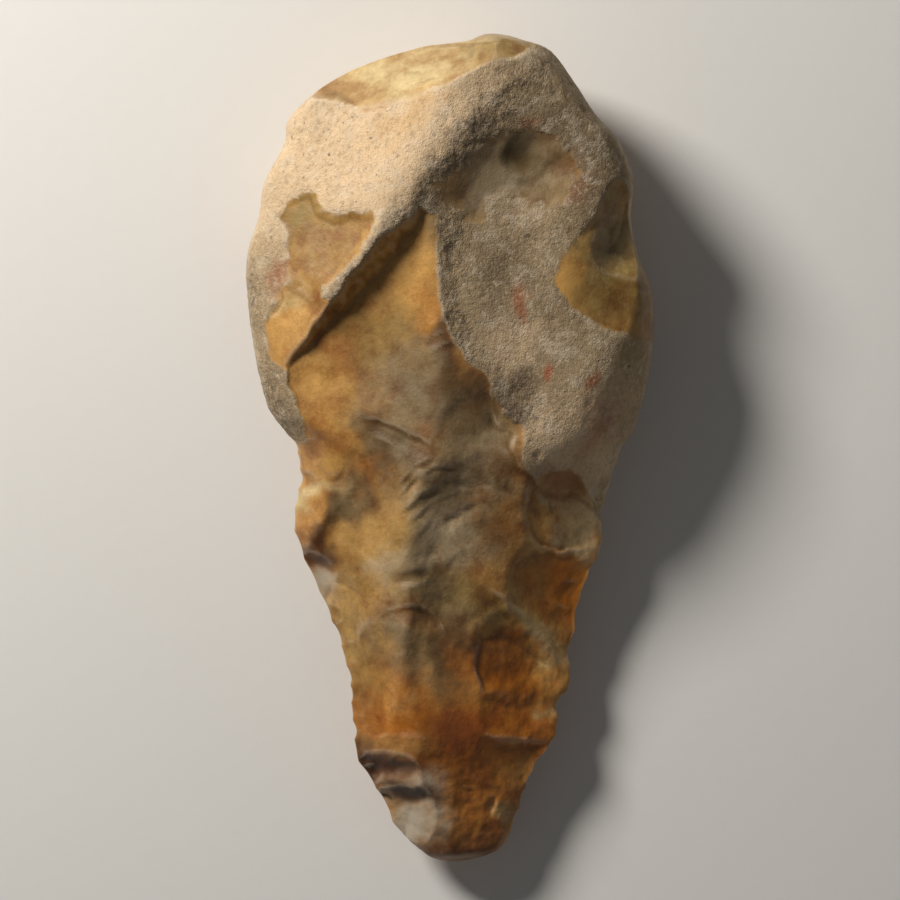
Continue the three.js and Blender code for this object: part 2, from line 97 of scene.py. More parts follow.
OUTLINE = [
    (10, 99.8), (19, 97.4), (24.5, 95.2), (30, 88), (35, 80.3), (40.5, 74), (43.6, 67), (44.2, 62),
    (43.6, 55), (45.5, 46), (48.6, 38), (49.2, 28.5), (48, 18), (45, 6), (41, -2), (38.3, -10),
    (36.9, -17), (36.7, -24), (32, -34.5), (30.6, -43), (29.2, -49), (29.3, -56.5), (26.4, -62),
    (26, -68.5), (22.3, -74.5), (19, -80), (17, -87), (14.5, -93.2), (11.5, -97.3), (5, -99.4),
    (-1, -100), (-6.5, -97.7), (-13.5, -90.5), (-18.8, -80.5), (-22.5, -74.5), (-23.5, -66),
    (-24.2, -57), (-25.8, -49), (-28.9, -41), (-33, -31), (-37, -22.5), (-37.6, -15), (-36.2, -6),
    (-37.4, 1), (-43.5, 9.5), (-46.8, 22), (-48.8, 37), (-48.7, 47), (-46, 56), (-44.6, 64),
    (-39.8, 73), (-38.6, 79), (-31, 86.3), (-21, 91.6), (-8, 95.8), (2, 97),
]

# Along the length: place, swell of the front and of the back, fullness of the front and back, and
# how far the crest of the front stands to the right of the middle, as a share of the half width.
STATIONS = np.array([
    (-100, 0, 0, 2, 2, 0),
    (-98.5, 3.4, 2.6, 2, 2, -0.1),
    (-94, 6.2, 5, 1.7, 1.7, -0.2),
    (-85, 9.4, 8.5, 1.45, 1.7, -0.3),
    (-70, 12.6, 12, 1.3, 1.8, -0.36),
    (-55, 14.6, 14.3, 1.25, 2, -0.38),
    (-45, 15.6, 15, 1.25, 2.1, -0.34),
    (-36, 16.4, 15.6, 1.25, 2.15, -0.24),
    (-28, 17.2, 16.2, 1.27, 2.15, -0.28),
    (-20, 18.2, 16.7, 1.35, 2.2, -0.18),
    (-8, 21, 17.4, 1.5, 2.25, -0.1),
    (5, 25.5, 18.4, 1.8, 2.3, -0.1),
    (30, 34, 20.1, 2.3, 2.4, 0),
    (55, 38, 21.8, 2.4, 2.4, 0),
    (75, 37, 23, 2.4, 2.4, 0),
    (88, 32, 19, 2.3, 2.3, 0),
    (95, 23, 13, 2.2, 2.2, 0),
    (98.6, 12, 6.5, 2, 2, 0),
    (99.8, 0, 0, 2, 2, 0),
], float)
FRONT, BACK = 0, 1


class Scar:
    """The bowl that one flake left, or one natural face of the nodule.

    It is centred `at` a place, and rises by `hollow` at `size[0]` along the way `along` and at `size[1]`
    across it. It cuts `step` below what was there and tips by `lean[1]` degrees towards `lean[0]`,
    unless `faces` and `dip` give its own tilt and `floor` its own height. Outside its limit it
    climbs by `wall`, and `blend` is how softly it meets its neighbours.
    """

    def __init__(self, at, size, hollow, step=0, along=0, lean=(0, 0), wall=WALL, blend=SOFTENING,
                 limit=None, faces=None, dip=0, floor=None, rind=False):
        self.at = at
        self.size = size
        self.hollow = hollow
        self.step = step
        self.run = (math.cos(math.radians(along)), math.sin(math.radians(along)))
        self.lean = lean
        self.slope = None if faces is None else downhill(faces, dip)
        self.bottom = floor
        self.limit = limit
        self.wall = wall
        self.blend = blend
        self.rind = rind

    def height(self, x, y, ragged_x, ragged_y):
        """The ragged places only shift where the scar stops, so its floor stays smooth."""
        dx = x - self.at[0]
        dy = y - self.at[1]
        u = (dx * self.run[0] + dy * self.run[1]) / self.size[0]
        v = (dy * self.run[0] - dx * self.run[1]) / self.size[1]
        height = self.bottom + self.slope[0] * dx + self.slope[1] * dy + self.hollow * (u * u + v * v)
        if self.limit is not None:
            height += self.wall * np.maximum(signed_distance(self.limit, ragged_x, ragged_y), 0)
        return height


def downhill(way, angle):
    steep = math.tan(math.radians(angle))
    return (-steep * math.cos(math.radians(way)), -steep * math.sin(math.radians(way)))


def waves(x, y, size, seed, count=14):
    """A smooth uneven surface, mostly between -1 and 1, with bumps about `size` across."""
    rng = np.random.default_rng(seed)
    total = np.zeros(np.shape(x))
    for _ in range(count):
        way = rng.uniform(0, 2 * np.pi)
        pitch = 2 * np.pi / size * rng.uniform(0.55, 1.35)
        phase = rng.uniform(0, 2 * np.pi)
        total += np.sin((x * np.cos(way) + y * np.sin(way)) * pitch + phase)
    return total * math.sqrt(0.5 / count) * 1.2


def layered(x, y, layers, seed):
    """Waves of several heights and sizes added up."""
    return sum(height * waves(x, y, size, seed + i) for i, (height, size) in enumerate(layers))


def along_line(start, end, x, y):
    """The run of a straight line, the share of it beside each place and the distance to it."""
    (ax, ay), (bx, by) = start, end
    run_x = bx - ax
    run_y = by - ay
    share = np.clip(((x - ax) * run_x + (y - ay) * run_y) / (run_x ** 2 + run_y ** 2), 0, 1)
    return run_x, run_y, share, np.hypot(x - ax - run_x * share, y - ay - run_y * share)


def signed_distance(limit, x, y):
    """Distance to a closed outline, negative inside it."""
    corners = np.array(limit, float)
    nearest = np.full(np.shape(x), np.inf)
    inside = np.zeros(np.shape(x), bool)
    for start, end in zip(corners, np.roll(corners, -1, axis=0)):
        run_x, run_y, _, gap = along_line(start, end, x, y)
        nearest = np.minimum(nearest, gap)
        if run_y != 0:
            inside ^= ((start[1] > y) != (end[1] > y)) & (x < start[0] + run_x * (y - start[1]) / run_y)
    return np.where(inside, -nearest, nearest)


def distance_along(path, x, y):
    """Distance to a drawn line, the side of it (positive on its left) and the share walked."""
    lengths = np.hypot(*np.diff(path, axis=0).T)
    nearest = np.full(np.shape(x), np.inf)
    side = np.zeros(np.shape(x))
    walked = np.zeros(np.shape(x))
    before = 0
    for start, end, length in zip(path, path[1:], lengths):
        run_x, run_y, share, gap = along_line(start, end, x, y)
        closer = gap < nearest
        side = np.where(closer, np.sign(run_x * (y - start[1]) - run_y * (x - start[0])), side)
        walked = np.where(closer, (before + share * length) / sum(lengths), walked)
        nearest = np.where(closer, gap, nearest)
        before += length
    return nearest, side, walked


def smooth_line(places, steps):
    """Points on a smooth line from the second place to the last but one, which is left off."""
    places = np.array(places, float)
    share = (np.arange(steps) / steps)[:, None]
    return np.concatenate([
        (2 * start + (end - before) * share + (2 * before - 5 * start + 4 * end - after) * share ** 2
         + (3 * start - before - 3 * end + after) * share ** 3) / 2
        for before, start, end, after in zip(places, places[1:], places[2:], places[3:])])


def smooth(share):
    share = np.clip(share, 0, 1)
    return share * share * (3 - 2 * share)


def smooth_lower(a, b, blend):
    overlap = np.maximum(blend - np.abs(a - b), 0) / blend
    return np.minimum(a, b) - overlap * overlap * blend / 4


def outline_sides():
    """The outline as a left and a right side, each as rows of (x, place along the length)."""
    points = smooth_line(OUTLINE[-1:] + OUTLINE + OUTLINE[:2], OUTLINE_STEPS)
    points = np.roll(points, -int(np.argmax(points[:, 1])), axis=0)
    turn = int(np.argmin(points[:, 1]))
    right = points[:turn + 1]
    left = np.concatenate([points[turn:], points[:1]])
    return [side[np.argsort(side[:, 1], kind="stable")] for side in (left, right)]


LEFT, RIGHT = outline_sides()


def bites(y, turn):
    """How far the small bites of the edge flaking cut in, along the part without rind."""
    place = y / BITE_SPACING + 0.5 * np.sin(y / 9 + turn)
    share = place - np.floor(place)
    uneven = 0.6 + 0.4 * np.sin(np.floor(place) * 2.3 + turn)
    fade = np.clip((BITE_LOWEST - np.abs(y)) / 6, 0, 1) * np.clip((BITE_HIGHEST - y) / 8, 0, 1)
    return BITE_DEPTH * fade * uneven * 4 * share * (1 - share)


def left_at(y):
    return np.interp(y, LEFT[:, 1], LEFT[:, 0])


def right_at(y):
    return np.interp(y, RIGHT[:, 1], RIGHT[:, 0])


def through_stations(column, y):
    """A smooth curve through one column of the stations that never swings past them."""
    place = STATIONS[:, 0]
    value = STATIONS[:, column]
    gap = np.diff(place)
    slope = np.diff(value) / gap
    mean = (slope[:-1] * gap[1:] + slope[1:] * gap[:-1]) / (gap[:-1] + gap[1:])
    least = np.minimum(np.minimum(np.abs(slope[:-1]), np.abs(slope[1:])), np.abs(mean) / 2)
    inner = (np.sign(slope[:-1]) + np.sign(slope[1:])) * least
    tangent = np.concatenate([slope[:1], inner, slope[-1:]])
    i = np.clip(np.searchsorted(place, y) - 1, 0, len(gap) - 1)
    t = np.clip((y - place[i]) / gap[i], 0, 1)
    ease = smooth(t)
    bend = gap[i] * t * (1 - t) * (tangent[i] * (1 - t) - tangent[i + 1] * t)
    return value[i] * (1 - ease) + value[i + 1] * ease + bend


def end_fade(y):
    return np.clip((100 - np.abs(y)) / EDGE_FADE, 0, 1)


def edge_sway(x, y):
    """How far the edge rises and falls beside a place, passing over from one edge to the other."""
    left = left_at(y)
    right = right_at(y)
    share = np.clip((x - left) / np.maximum(right - left, TINY), 0, 1)
    left_sway = np.sin(y / 13 + 0.6) + 0.5 * np.sin(y / 5.3)
    right_sway = np.sin(y / 11 + 2.4) + 0.5 * np.sin(y / 6.1 + 1)
    return EDGE_SWAY * end_fade(y) * (left_sway * (1 - share) + right_sway * share)


def crest_wander(y):
    fade = end_fade(y) * np.clip((RIND_LINE - y) / RIND_LINE, 0, 1)
    return fade * CREST_WANDER * (np.sin(y / 5.5 + 1) + 0.6 * np.sin(y / 2.9))


def arch(face, x, y):
    """0 at the edge and 1 along the crest of a face."""
    left = left_at(y)
    right = right_at(y)
    half_width = np.maximum((right - left) / 2, TINY)
    lean = (through_stations(5, y) + crest_wander(y)) if face == FRONT else 0
    off = (x - (left + right) / 2) / half_width - lean
    across = np.minimum(np.where(off > 0, off / (1 - lean), -off / (1 + lean)), 1)
    fullness = through_stations(3 + face, y)
    return (1 - across ** fullness) ** (1 / fullness)


def blank(face, x, y):
    share = arch(face, x, y)
    sway = edge_sway(x, y) * (1 if face == FRONT else -1)
    return sway * (1 - share) + through_stations(1 + face, y) * share


FRONT_SCARS = {
    # the natural faces of the nodule
    "rind_left": Scar((-22, 70), (60, 60), -2, faces=139, dip=25, floor=22.7, blend=5, rind=True),
    "rind_left_side": Scar((-40, 35), (60, 60), -2, faces=178, dip=33, floor=15.5, blend=8, rind=True),
    "rind_right": Scar((15, 44), (62, 27), 6, along=78, faces=-25, dip=7, floor=19.5, blend=5, rind=True),
    "rind_hollow": Scar((16, 63.5), (32, 15), 6.8, along=49, faces=-41, dip=4, floor=19.5,
                        blend=3, rind=True),
    "rind_far_right": Scar((38, 30), (60, 60), -3, faces=-5, dip=19, floor=18.4, blend=9, rind=True),
    "smooth_patch": Scar((14, 68), (16, 9), 0.4, 0.1, 45, (0, 0), 0.3, 0.8, [
        (3.5, 60), (7, 65), (10, 71), (14.5, 74.6), (19.5, 75.5), (23.6, 73), (24.4, 68.5), (21.5, 65),
        (17, 63), (12.5, 62.6), (9, 60.5), (6, 56.5)]),
    "dimple": Scar((17.8, 69.8), (4.8, 4.2), 1.0, 0.3, 30, (0, 0), 0.45, 1.2, [
        (22.4, 70.5), (20.4, 73.4), (17, 74), (14.2, 72), (13.4, 69), (15, 66.2), (18.4, 65.6),
        (21.4, 67.4)]),
    # butt end
    "butt_flake": Scar((-6, 90.5), (16, 42), 1.2, 0, 100, (0, 0), 0.9, 0.6, [
        (-33, 87), (-30, 86), (-26, 84), (-20, 79.6), (-12, 82.2), (-5, 84.5), (0, 86.5), (5, 89.5),
        (10, 90.8), (15, 93), (20, 96), (22, 101), (8, 106), (-15, 104), (-35, 94)
    ], faces=115, dip=52, floor=16.2),
    "butt_flake_right": Scar((13, 95), (9, 14), 0.8, 0.5, 75, (0, 0), 0.6, SOFTENING, [
        (8, 98.5), (6.5, 93), (10, 90.8), (15, 92.7), (20, 96), (22, 101), (8, 104)], faces=72, dip=48),
    # left side
    "window": Scar((-27, 47), (17, 16), 0.8, 0.7, 60, (60, 2), 0.5, 0.9, [
        (-40, 55), (-37, 58.5), (-33, 59.5), (-32, 56), (-28, 53), (-23, 54), (-18.5, 54.3),
        (-24.4, 46.5), (-30, 38.8), (-32.5, 36), (-38, 38), (-38.5, 44), (-37, 50)]),
    "triangle": Scar((-36.5, 30), (12, 9), 0.6, 0.6, 60, (60, 3), 0.5, 0.9, [
        (-38.5, 38), (-30, 34.5), (-36, 26), (-38.5, 18), (-43, 22), (-44, 30)]),
    "ochre": Scar((-17, 25), (35, 22), 1.5, 0, 62, (0, 0), 1.5, 1.2, [
        (-3, 56), (-6, 56), (-10, 50), (-16, 43), (-22, 36), (-30, 28), (-38.5, 20), (-38, 15),
        (-36, 10), (-34, 2), (-32, -4), (-29, -6), (-25, -3), (-15, -12), (8, -6), (16, 0), (14.5, 4),
        (12, 7), (11, 11), (10, 15), (8, 18), (5, 19.8), (2, 24), (-1, 30), (-2.5, 36), (-3, 45)
    ], faces=198, dip=13, floor=18.6),
    # right edge
    "right_olive": Scar((39, 42), (19, 15), 1.0, 0.9, 70, (135, 1), 0.45, 0.8, [
        (43, 60.5), (38, 56), (31.5, 50.5), (26.5, 45.5), (25, 41), (27, 36), (33, 31.5), (39, 28.8),
        (47, 26), (54, 26), (54, 45), (48, 62)]),
    "right_olive_top": Scar((43, 52), (9, 6), 0.6, 0.3, 70, (180, 3), 0.6, SOFTENING, [
        (43.2, 60), (41, 53), (39, 47.5), (46, 45.5), (52, 50), (50, 58)]),
    # middle
    "grey_centre": Scar((2, 2), (22, 16), 0.4, 0.2, 60, (30, 2), 0.5, 2.0, [
        (-4, 0.5), (0, 8), (5, 13), (10, 11), (12, 6), (15, 4), (16, -2), (19, -6), (21, -8),
        (10, -16), (-8, -8)]),
    "mid_left": Scar((-21, -18), (20, 14), 1.4, 0.5, 50, (-20, 4), 0.25, 2.4, [
        (-22, 0), (-24, -2), (-25, -6), (-27, -9), (-31, -15), (-34, -22), (-38, -26), (-31, -30),
        (-20, -36), (-10, -32), (-9, -20), (-13, -10), (-18, -4)]),
    "arcs": Scar((1, -23), (24, 14), 1.4, 0.5, 75, (150, 2), 0.35, 1.8, [
        (-13, -12), (-9, -14.5), (-3, -10.5), (3, -8.3), (8, -8), (12, -9), (17, -12), (19, -18),
        (18, -26), (14, -36), (4, -42), (-6, -40), (-12, -28), (-12, -20)]),
    "right_oval": Scar((22, -17), (8, 4), 0.5, 0.4, -75, (150, 4), 0.5, 0.7, [
        (20, -9.5), (24, -12), (26, -18), (27, -24.5), (22, -23.5), (19, -19), (18.3, -13)]),
    "right_ochre": Scar((30, -18), (9, 7), 1.0, 0.9, -80, (150, 8), 0.5, 0.8, [
        (22, -10), (25, -11.5), (29, -11), (33, -13), (37, -17), (39, -25), (30, -25.5), (27, -24),
        (26, -18)]),
    "right_orange": Scar((26, -34), (14, 11), 1.6, 0.8, 110, (150, 7), 0.45, 1.4, [
        (20, -25), (28, -26), (40, -25), (36, -35), (34, -52), (27, -50), (20, -43), (15, -36),
        (16, -28)]),
    # towards the point
    "centre_low": Scar((-3, -55), (20, 10), 1.3, 0.3, 85, (95, 2), 0.3, 1.6, [
        (-13, -38.5), (-8, -37), (-4, -39), (0, -43), (2, -46), (7, -50), (8, -58), (8, -68), (2, -72),
        (-8, -71), (-12, -66), (-12, -50)]),
    "left_brown": Scar((-25, -41), (10, 5), 0.5, 0.4, 100, (20, 4), 0.5, 0.8, [
        (-34, -33), (-26, -32), (-22, -34), (-22, -46), (-24.5, -49), (-30, -49)]),
    "white_chip": Scar((-31, -31.5), (5, 4), 0.4, 0.5, 100, (60, 5), 0.8, SOFTENING, [
        (-37, -25.5), (-31, -28), (-28, -29), (-28.5, -34), (-31, -36), (-37, -33)]),
    "left_low": Scar((-19, -58), (14, 7), 0.8, 0.3, 85, (0, 3), 0.4, 1.2, [
        (-30, -50), (-23, -47), (-17, -43), (-14, -48), (-14.5, -62), (-16, -69), (-30, -69)]),
    "oval_brown": Scar((17, -54), (15, 10), 1.1, 0.9, -35, (90, 4), 0.5, 1.2, [
        (7.5, -45.5), (12, -44.5), (19, -49), (26, -53), (33, -58), (30, -62), (20, -65), (12, -63),
        (8, -57), (6.5, -51)]),
    "right_low": Scar((18, -66), (10, 8), 0.8, 0.3, -10, (150, 3), 0.4, 1.2, [
        (9, -60), (18, -63), (30, -60), (30, -72), (24, -71.5), (17, -70.5), (10, -69), (8, -64)]),
    "right_neck": Scar((15, -77), (10, 7), 0.9, 0.6, -10, (85, 4), 0.6, 0.9, [
        (9, -70), (17, -71.5), (28, -72), (24, -80), (16, -86), (8, -82), (5, -76)]),
    "point_band": Scar((-14, -77.5), (9, 9), 1.0, 1.9, 90, (85, 8), 1.0, 0.5, [
        (-28, -75), (-20, -75.2), (-12, -75.6), (-7, -76), (-3, -78), (-2, -80), (-10, -81), (-20, -82)]),
    "point_right": Scar((8, -88), (12, 9), 0.6, 0.3, 80, (100, 3), 0.4, 1, [
        (2, -80), (14, -82), (22, -84), (18, -94), (10, -102), (3, -97), (1, -88)]),
    "point_chip": Scar((-9, -87), (10, 9), 1.2, 2.1, -105, (165, 15), 0.9, 0.4, [
        (-15.5, -84.5), (-12, -83.8), (-8, -83.4), (-4, -83.3), (-2.6, -84), (-2.2, -86), (-2.6, -89),
        (-3.8, -92), (-5.5, -95), (-8, -99), (-13, -97), (-20, -91), (-18, -86)]),
}

BACK_SCARS = {
    "back_butt_rind": Scar((0, 86), (60, 60), -3, faces=90, dip=30, floor=19, blend=6, rind=True),
    "back_left_high": Scar((-32, 46), (27, 18), 2.6, 0.6, 160),
    "back_right_high": Scar((33, 52), (25, 17), 2.6, 0.6, 20),
    "back_left_middle": Scar((-30, 14), (24, 17), 2.6, 0.9, 172),
    "back_right_middle": Scar((31, 20), (24, 16), 2.6, 0.9, 8),
    "back_left_waist": Scar((-24, -16), (19, 13), 2, 0.8, 165),
    "back_right_waist": Scar((26, -8), (20, 13), 2.2, 0.8, 15),
    "back_right_low": Scar((21, -33), (17, 12), 1.9, 0.8, 18),
    "back_left_low": Scar((-18, -42), (16, 12), 1.8, 0.8, 160),
    "back_right_neck": Scar((17, -57), (14, 10), 1.6, 0.7, 25),
    "back_left_neck": Scar((-14, -66), (14, 11), 1.6, 0.7, 152),
    "back_right_point": Scar((11, -78), (13, 10), 1.4, 0.7, 35),
    "back_point": Scar((-3, -90), (11, 9), 1.2, 0.6, 100),
    "back_butt_left": Scar((-24, 79), (16, 13), 2, 0.8, 120),
    "back_butt_right": Scar((19, 84), (15, 13), 2, 0.8, 60),
}


def carve(face, scars, x, y, ragged_x, ragged_y):
    """Height of a face after its scars, and its height with only the natural faces cut."""
    height = blank(face, x, y)
    natural = height
    for scar in scars:
        height = smooth_lower(height, scar.height(x, y, ragged_x, ragged_y), scar.blend)
        if scar.rind:
            natural = height
    return height, natural


def outside_scars(scars, x, y):
    """1 where no outlined scar reaches, 0 inside them."""
    whole = np.ones(np.shape(x))
    for scar in scars:
        if scar.limit is not None:
            whole = np.minimum(whole, np.clip(signed_distance(scar.limit, x, y) / 0.5 + 0.5, 0, 1))
    return whole


def seated(face, scars):
    """The scars, each set on what the scars before it have left."""
    scars = list(scars.values())
    for i, scar in enumerate(scars):
        x, y = scar.at
        inner = min(max(x, left_at(y) + MARGIN + FEELER), right_at(y) - MARGIN - FEELER)
        px = np.array([x, inner + FEELER, inner - FEELER, inner, inner], float)
        py = np.array([y, y, y, y + FEELER, y - FEELER], float)
        felt = carve(face, scars[:i], px, py, px, py)[0]
        if scar.bottom is None:
            scar.bottom = felt[0] - scar.hollow - scar.step
        if scar.slope is None:
            tip = downhill(*scar.lean)
            scar.slope = ((felt[1] - felt[2]) / (2 * FEELER) + tip[0],
                          (felt[3] - felt[4]) / (2 * FEELER) + tip[1])
    return scars


SCARS = (seated(FRONT, FRONT_SCARS), seated(BACK, BACK_SCARS))

# Fine edges on the front, each a drawn line. The ground drops away on the right of the line as it
# is walked: how far it drops, over what width, over what length it recovers, and a raised lip.
# The short ones are broken up, and all fade out towards their ends.
EDGES = {
    "window lip": ([(-37, 50), (-38, 43), (-38.5, 38), (-40, 34), (-43, 30)], 0.7, 0.8, 4, 0.13),
    "window foot": ([(-31, 34.5), (-34.5, 37), (-38, 38.5)], 0.4, 0.8, 3, 0.11),
    "butt crack": ([(-20, 87), (-12, 89), (-4, 92), (2, 95.5)], 0.25, 0.6, 2.5, 0.04),
    "butt second crack": ([(-16, 85), (-8, 86.7), (-1, 89.6), (5, 94)], 0.3, 0.6, 2.5, 0.04),
    "butt long ripple": ([(-26, 88.5), (-18, 91), (-9, 94)], 0.2, 0.8, 3, 0.02),
    "butt rib": ([(9.5, 98.5), (8, 95), (5.5, 91)], 0.5, 1, 4, 0.11),
    "scar rim": ([(5, 19.8), (2, 24), (-1, 30), (-2.5, 36), (-3, 45), (-3, 53)], 1.0, 3.5, 7, 0.11),
    "hatch one": ([(-7, 27), (-4, 29.5), (0, 30.5)], 0.3, 0.6, 1.6, 0.04),
    "hatch two": ([(-6.5, 24.5), (-3.5, 27), (0.5, 28)], 0.3, 0.6, 1.6, 0.04),
    "hatch three": ([(-5, 22.5), (-2, 24.5), (1.5, 25)], 0.35, 0.6, 1.6, 0.04),
    "olive ridge": ([(43, 59), (40, 52), (39, 47.5), (45, 45.5)], 0.4, 0.8, 4, 0.13),
    "step band top": ([(-21.5, 8.4), (-15, 6.7), (-10, 4.2), (-3.4, 0.4)], 0.75, 0.8, 5, 0.04),
    "step band second": ([(-20.5, 6.2), (-14, 4), (-8, 0.6), (-4.5, -1)], 0.16, 0.5, 1.4, 0.02),
    "step band third": ([(-21, 4), (-14.5, 1.6), (-9, -2), (-7, -3.5)], 0.14, 0.5, 1.4, 0.02),
    "step band fourth": ([(-21, 1), (-16, -1.6), (-11.5, -5.5)], 0.12, 0.6, 1.6, 0.02),
    "light ridge": ([(-13, -8.5), (-8.2, -3.7), (-3.4, -0.8)], 0.8, 1.3, 2.5, 0.1),
    "groove": ([(-13.5, -12.5), (-10.2, -8.5), (-5.4, -4.7), (3, -4.2)], 0.8, 0.7, 2.6, 0.07),
    "first arc": ([(-13, -16), (-9, -12.4), (-4, -9), (1, -7), (6.5, -7.4)], 0.55, 0.8, 2, 0.14),
    "second arc": ([(-11.5, -19), (-8, -15.4), (-4, -12), (1, -10), (6, -9.8)], 0.35, 0.7, 1.6, 0.1),
    "third arc": ([(-5.5, -21.5), (-3, -18), (1, -15), (7, -12.3)], 0.45, 0.8, 2.4, 0.14),
    "fourth arc": ([(-10, -24), (-7, -19.6), (-3, -15.8), (2, -13)], 0.2, 0.7, 1.6, 0.06),
    "fifth arc": ([(-7, -31), (-6, -26), (-3.5, -21), (0, -17)], 0.2, 1, 3, 0.06),
    "small swell": ([(-3, -30), (0, -26), (5, -23)], 0.3, 1.2, 4, 0.04),
    "centre crest": ([(-13, -41), (-7, -36), (-10, -30), (-11, -25), (-6, -18), (-7, -11)],
                     0.7, 4, 9, 0.03),
    "rough ridge": ([(-39, -27), (-36, -23), (-30.4, -15.8), (-25.6, -8), (-23, -2)], 1.8, 4, 9, 0.03),
    "left bevel": ([(-34.9, -1), (-34.6, -10), (-35, -20)], 0.9, 2, 9, 0.03),
    "ochre scar foot": ([(-36, -1), (-32.4, -6.6), (-26.6, -5.6), (-23.7, -1.8)], 0.4, 1, 3, 0.05),
    "oval rim": ([
        (36, -22), (31.3, -24), (23.6, -24.4), (19.7, -21), (18.2, -14.3), (19.7, -8.5)
    ], 0.8, 0.6, 3.5, 0.14),
    "facet edge": ([(27, -12), (25, -16), (25.5, -22)], 0.4, 0.6, 2.5, 0.13),
    "rind foot": ([
        (5, 19.8), (10, 19.5), (10, 10), (12, 6), (15, 4), (16, -2), (19, -6), (21, -8), (25, -10.5),
        (30, -10), (34, -13), (37, -18)], 0.5, 0.5, 3, 0.04),
    "slanting ridge": ([
        (6.2, -31.5), (12, -34.6), (17.8, -40.4), (23.6, -47), (28.6, -53.5)], 1.3, 2.6, 8, 0.22),
    "oval lip": ([(9.5, -59), (7.2, -55.8), (6.2, -50), (7.2, -45)], 0.5, 0.6, 5, 0.11),
    "low arc": ([(-18, -40.5), (-13, -37.6), (-6.3, -37.5), (-2.5, -41.3), (0.6, -46.5)],
                0.6, 1.1, 5, 0.05),
    "upright ridge": ([(-13.4, -67), (-12.2, -54), (-13, -43)], 1.0, 4, 9, 0.04),
    "left thin ridge": ([(-23, -34.5), (-22, -42), (-21.5, -49)], 0.35, 0.6, 2.5, 0.13),
    "low right ridge": ([(9, -69.4), (17, -70.5), (26, -71.6)], 0.9, 2, 6, 0.09),
    "band top": ([(-2, -70), (-8, -69), (-16, -69), (-24, -69.6)], 0.5, 1, 3, 0.04),
    "point ripple one": ([(2, -79.5), (5, -81.5), (9.5, -81), (12, -83.5)], 0.25, 0.8, 1.8, 0.07),
    "point ripple two": ([(1.5, -83), (5, -85), (8, -84), (11.5, -87)], 0.25, 0.8, 1.8, 0.07),
    "point facet": ([(12, -84), (11.5, -88), (13, -92)], 0.5, 0.8, 3, 0.11),
    "beside the hollow": ([(-14, -33), (-13, -38)], 0.25, 0.5, 1.5, 0.11),
    "beside it again": ([(-6, -30), (-6.5, -36)], 0.25, 0.5, 1.5, 0.11),
}
LIP_WIDTH = 0.8
BROKEN_BELOW = 5
END_SHARE = 0.25

# Small pockets: how deep, where, half length, half width and the way they run.
POCKETS = [
    (0.7, -9, -30.5, 4.2, 1.5, 12), (0.9, -18, -78, 2.2, 1.4, 60), (0.9, 16, 11, 7.5, 6.5, 60),
    (0.6, -38, -24.5, 2.5, 1.2, 20), (0.4, 24, -55, 4, 2, -25), (0.4, -42, 41, 4, 2.6, 80),
    (0.25, 8, 2, 10, 5, 30),
]


def edges(x, y):
    """The height that the lips and drops of the fine edges add."""
    height = np.zeros(np.shape(x))
    uneven = np.clip(0.75 + 0.6 * waves(x, y, 7, 61), 0.15, 1.4)
    for path, drop, fall, reach, lip in EDGES.values():
        line = np.concatenate([smooth_line([path[0], *path, path[-1]], LINE_STEPS), path[-1:]])
        gap, side, share = distance_along(line, x, y)
        near = gap < 3 * max(reach, fall)
        fade = smooth(share / END_SHARE) * smooth((1 - share) / END_SHARE)
        broken = uneven if reach < BROKEN_BELOW else 1.0
        low = np.where(side < 0, smooth(gap / fall / 1.4) * np.exp(-(gap / reach) ** 2), 0)
        height += np.where(near, fade * broken * (lip * np.exp(-(gap / LIP_WIDTH) ** 2) - drop * low), 0)
    return height


def pockets(x, y):
    return -sum(depth * soft_spot(x, y, *place) for depth, *place in POCKETS)


def soft_spot(x, y, px, py, length, width, way):
    """1 in the middle of an ellipse, fading to 0 a little outside its rim."""
    cos = math.cos(math.radians(way))
    sin = math.sin(math.radians(way))
    u = ((x - px) * cos + (y - py) * sin) / length
    v = ((y - py) * cos - (x - px) * sin) / width
    return np.exp(-1.2 * (u * u + v * v) ** 1.5)


# The chips that retouch left along both edges, from near the point to the middle of the rind, where
# they are faint: the range of each size, and their spacing as a share of the radius.
CHIPS_FROM, CHIPS_TO = -97.0, 66.0
FAINT_ABOVE = 8.0
FAINT_SHARE = 0.35
CHIP_RADIUS = (1.8, 4.6)
CHIP_DEPTH = (0.25, 0.8)
CHIP_REACH = (0.8, 1.7)
CHIP_SPACING = (1.0, 1.9)
CHIP_INWARD = 0.35


def edge_chips(x, y, seed):
    """How deep the small chips along both edges cut."""
    rng = np.random.default_rng(seed)
    cut = np.zeros(np.shape(x))
    for side_at, inward in ((left_at, 1), (right_at, -1)):
        place = CHIPS_FROM
        while place < CHIPS_TO:
            radius = rng.uniform(*CHIP_RADIUS)
            depth = rng.uniform(*CHIP_DEPTH) * (FAINT_SHARE if place > FAINT_ABOVE else 1)
            reach = rng.uniform(*CHIP_REACH)
            u = (x - float(side_at(place)) - inward * radius * CHIP_INWARD) / (radius * reach)
            v = (y - place) / radius
            cut = np.maximum(cut, depth * np.maximum(1 - u * u - v * v, 0))
            place += radius * rng.uniform(*CHIP_SPACING)
    return cut


